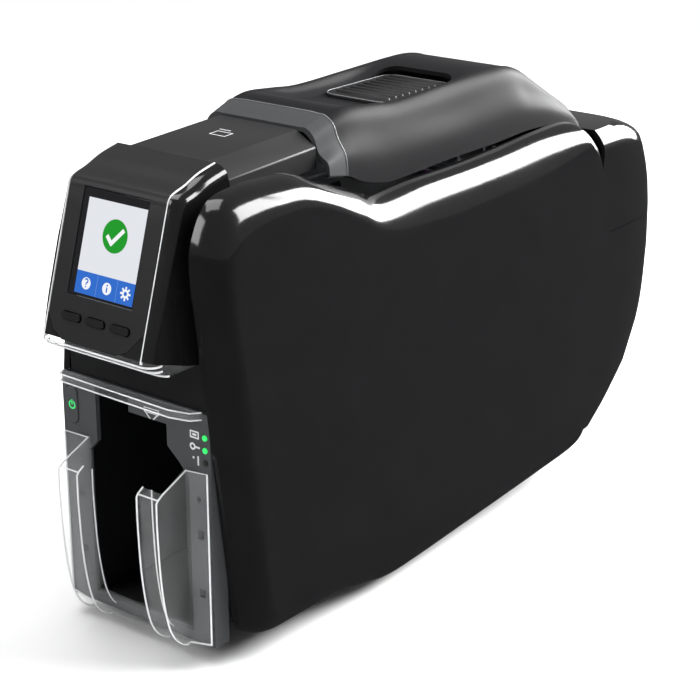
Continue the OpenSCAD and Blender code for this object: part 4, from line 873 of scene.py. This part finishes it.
def hopper_arm(wall_x, s):
    """Shapes of one arm; s is 1 where its wall stands right of its front strip and -1 on the left."""
    x0 = wall_x - (HOP_WALL if s > 0 else 0)
    side = [(HOP_BACK, 10.5), (HOP_BACK, ARM_RIM)] + arm_front.tolist()
    strip_line = np.concatenate([[(12.5, 105), (8.8, 102.8)], arm_front, [(HOP_BACK - 1, 10.4)]])
    lip_x = wall_x - s * ARM_W - (0 if s > 0 else HOP_WALL)
    lip_line = [p for p in arm_front.tolist() if p[1] > 28]
    edge = CORE_R - 1 if s > 0 else FASCIA_L + 1
    flange = [(wall_x, 11), (wall_x, ARM_RIM - 1), (edge, ARM_RIM + s), (edge, 14)]
    shapes = [slab(side, x0, x0 + HOP_WALL, 0),
              slab(strip(strip_line, -HOP_WALL), *sorted((wall_x, wall_x - s * ARM_W)), 0),
              slab(strip(lip_line, -12), lip_x, lip_x + HOP_WALL, 0),
              slab(flange if s > 0 else flange[::-1], HOP_BACK - HOP_WALL, HOP_BACK, 1)]
    hook_x = BAY_R + 5.5 if s > 0 else BAY_L - 8.5
    for z in HOOK_Z:
        shapes += [block((hook_x, HOP_BACK - 0.5, z + 0.4), (hook_x + HOOK_W, FASCIA_Y + 4.4, z + 2.6)),
                   block((hook_x, FASCIA_Y + 3.3, z - 1.2), (hook_x + HOOK_W, FASCIA_Y + 4.8, z + 2.6))]
    return shapes


hopper_shapes = hopper_arm(ARM_L, -1) + hopper_arm(ARM_R, 1)
hopper_shapes += [block((BAY_L + 1, HOP_BACK - HOP_WALL, 14), (BAY_R - 1, HOP_BACK, 22))]
floor_web = block((BAY_L + 1, 24, 14), (BAY_R - 1, HOP_BACK, 14 + HOP_WALL))
hopper = joined(floor_web, hopper_shapes)
piece("hopper", hopper, clear_plastic, "hopper", replaces=["output_hopper"], bevel=0.45)


def arm_beads(wall_x, s):
    """Painted highlights along the edges of one arm, as pale beads: round the flange and down the front
    strip's outer edge, down its free edge, down the return lip, and along the strip's head and foot."""
    edge = CORE_R - 1.5 if s > 0 else FASCIA_L + 1.5
    outer, free, back = wall_x - 0.5 * s, wall_x - s * ARM_W + 0.5 * s, HOP_BACK - 1
    rim = [(edge, back, 14.5), (edge, back, ARM_RIM + s - 0.5), (outer, back, ARM_RIM - 1),
           (outer, 12.8, 104.6), (outer, 9.2, 102.5)]
    free_line = [(12.5, 105), (8.8, 102.8)] + arm_front.tolist()
    return [bead(rim + [(outer, y + 0.4, z) for y, z in arm_front], 0.5),
            bead([(free, y + 0.4, z) for y, z in free_line], 0.5),
            bead([(free, y + 11.6, z) for y, z in arm_front[:-8].tolist()], 0.4),
            bead([(outer, 9.2, 102.4), (free, 9.2, 102.4)], 0.45),
            bead([(edge, back, 14.5), (outer, back, 11.5), (outer, 27, 11.6)], 0.5)]


# pale beads of painted highlight along both arms' edges
hopper_edge_highlights = merged(arm_beads(ARM_L, -1) + arm_beads(ARM_R, 1))
piece("hopper_edge_highlights", hopper_edge_highlights, painted_edge_highlight, "hopper", ["output_hopper"])
lip_outer = [(FASCIA_L + 1, 31.8), (FASCIA_L + 4, 26), (BAY_R - 6, 24), (BAY_R + 6, 27), (BAY_R + 10, 31.8)]
lip_inner = [(FASCIA_L + 4, 32), (FASCIA_L + 5.6, 27.6), (BAY_R - 6, 25.8), (BAY_R + 4.6, 28.4),
             (BAY_R + 7, 32)]
lip_room = slab(lip_inner, FASCIA_TOP - 6, FASCIA_TOP - 0.6)
clear_lip = carved(slab(lip_outer, FASCIA_TOP - 4, FASCIA_TOP + 1), [lip_room])
piece("feed_lip_clear", clear_lip, clear_plastic, replaces=["feed_lip"], bevel=0.4)
# pale beads along the lip's upper and lower front edges: a painted highlight
lip_beads = [bead([(x * 0.995 + 0.1, y + 0.5, z) for x, y in lip_outer], 0.45)
             for z in (FASCIA_TOP - 3.5, FASCIA_TOP + 0.5)]
piece("feed_lip_edge_highlights", merged(lip_beads), painted_edge_highlight, replaces=["feed_lip"])

# ---- Power button and card bay ----------------------------------------------
# The tall grey button carries a lit green stand-by symbol. The bay is a dull
# black box behind the mouth that the printed cards drop into.

STAND_X, STAND_Z, LIT_TONE = -51.4, 128.0, (0.03, 0.45, 0.12)
button_grey = moulding("button_grey", GREY_TONE, 0.45, 900, 0.00004)
button_x, button_y, button_z = drawn_axes(button_grey)
button = button_x, button_z
broken_ring = ring(button, STAND_X, STAND_Z, 2.1, 0.45) * (
    1 - within(button, STAND_X - 0.9, STAND_X + 0.9, STAND_Z, STAND_Z + 3))
stand_by = broken_ring.most(within(button, STAND_X - 0.4, STAND_X + 0.4, STAND_Z, STAND_Z + 3))
stand_by = stand_by * button_y.under(FASCIA_Y)
button_grey.set(Base_Color=button_grey.blend(stand_by, GREY_TONE, LIT_TONE), Emission_Strength=0.9,
                Emission_Color=button_grey.blend(stand_by, (0, 0, 0), (0.02, 0.5, 0.1)))
button_face = slab(rounded((POWER_L + 0.4, PATH_Z - 7.6), (POWER_R - 0.4, PATH_Z + 13.6), 3.6),
                   FASCIA_Y - 0.8, FASCIA_Y + 3.4, 1)
button_flange = slab(rounded((POWER_L - 0.6, PATH_Z - 9.5), (POWER_R + 2, PATH_Z + 15.5), 3),
                     FASCIA_Y + 3.3, FASCIA_Y + 4.5, 1)
slots_of = {part["node"]: part["material_slot"] for part in frame["record"]["subparts"]}
piece("power_cap", joined(button_face, [button_flange]), button_grey, "power_key",
      ["power_button"], bevel=0.5)
bay_black = moulding("black_liner_abs", (0.006, 0.006, 0.0065), 0.5, 700, 0.00005)
bay_shell = carved(block((BAY_L - 2, FASCIA_Y + 3.2, 14.5), (BAY_R + 2, 108, MOUTH_TOP + 2)),
                   [block((BAY_L, FASCIA_Y, 16.5), (BAY_R, 106, MOUTH_TOP)),
                    block((-34, 103, 122), (24, 113, 130))])
piece("bay_box", bay_shell, bay_black, replaces=["card_bay"])

# ---- Inner pieces -----------------------------------------------------------
# The card transport, the frames and the boards keep their CAD forms. Each takes
# the finish of what it is made of: plated sheet, ground steel, rubber or acetal.

LENS_TONE, LIT_OVER = (0.03, 0.5, 0.1), 122.5  # the lenses above this height are lit
lens_green = Finish("green_light", LENS_TONE, Emission_Strength=1.0)
lit = drawn_axes(lens_green)[2].over(LIT_OVER)
lens_green.set(Base_Color=lens_green.blend(lit, (0.02, 0.03, 0.022), LENS_TONE),
               Emission_Color=lens_green.blend(lit, (0, 0, 0), (0.02, 0.6, 0.1)),
               Roughness=lens_green.noise(300) * 0.1 + 0.25)
panel_white = Finish("screen_lit", (0.9, 0.92, 0.94), Emission_Color=(*PALE, 1), Emission_Strength=0.6)
panel_white.set(Roughness=panel_white.noise(200) * 0.1 + 0.1)
foot_rubber = moulding("foot_rubber", (0.02, 0.02, 0.02), 0.75, 1500, 0.0001)
roller_rubber = moulding("roller_rubber", (0.03, 0.03, 0.032), 0.65, 2500, 0.00006)
sticky_sleeve = moulding("sticky_roller", (0.6, 0.57, 0.46), 0.3, 600, 0.00003, Coat_Weight=0.4)
acetal = moulding("gear_acetal", (0.72, 0.7, 0.62), 0.38, 800, 0.00003, Subsurface_Weight=0.1)
ceramic = moulding("print_head_ceramic", (0.4, 0.4, 0.38), 0.5, 1200, 0.00003, Metallic=0.4)
dye_film = moulding("ribbon_film", (0.12, 0.03, 0.13), 0.14, 200, 0.00003, Coat_Weight=0.5)
motor_can = moulding("motor_steel", (0.12, 0.125, 0.13), 0.35, 400, 0.00003, Metallic=0.8)


def brushed(name, colour, rough, stretch, **sockets):
    """Metal of a mean roughness with fine drawn lines along one axis and slow cloudiness."""
    made = Finish(name, colour, Metallic=1.0, **sockets)
    lines, cloud = made.noise(900, 3, stretch), made.noise(25, 3)
    made.set(Roughness=lines * 0.12 + cloud * 0.1 + (rough - 0.11), Normal=made.bump(lines, 0.00001),
             Base_Color=made.blend(cloud, [c * 0.85 for c in colour], [min(c * 1.1, 1) for c in colour]))
    return made


zinc = brushed("zinc_steel", (0.52, 0.54, 0.56), 0.35, (1, 0.04, 1))
ground = brushed("shaft_steel", (0.66, 0.66, 0.67), 0.2, (0.04, 1, 1))
brass = brushed("brass_pinion", (0.72, 0.52, 0.2), 0.25, (1, 0.1, 0.1))
board_green = Finish("circuit_board", (0.02, 0.12, 0.05), Coat_Weight=0.5)
board_x, board_y, board_z = board_green.axes()
tracks = (board_x * 2600).wave().over(0.6).most((board_y * 2100).wave().over(0.75))
board_green.set(Base_Color=board_green.blend(tracks, (0.012, 0.09, 0.035), (0.03, 0.17, 0.07)),
                Roughness=board_green.noise(300) * 0.1 + 0.3, Normal=board_green.bump(tracks, 0.00003))

finishes = {made.name: made for made in (
    gloss_black, satin_black, fascia_grey, bay_black, clear_plastic, glass, lens_green, panel_white,
    foot_rubber, roller_rubber, sticky_sleeve, acetal, ceramic, dye_film, motor_can, zinc, ground, brass,
    board_green)}
for node, slot in slots_of.items():
    cad = nodes[node]
    cad.data.materials.clear()
    cad.data.materials.append(finishes[slot].material)
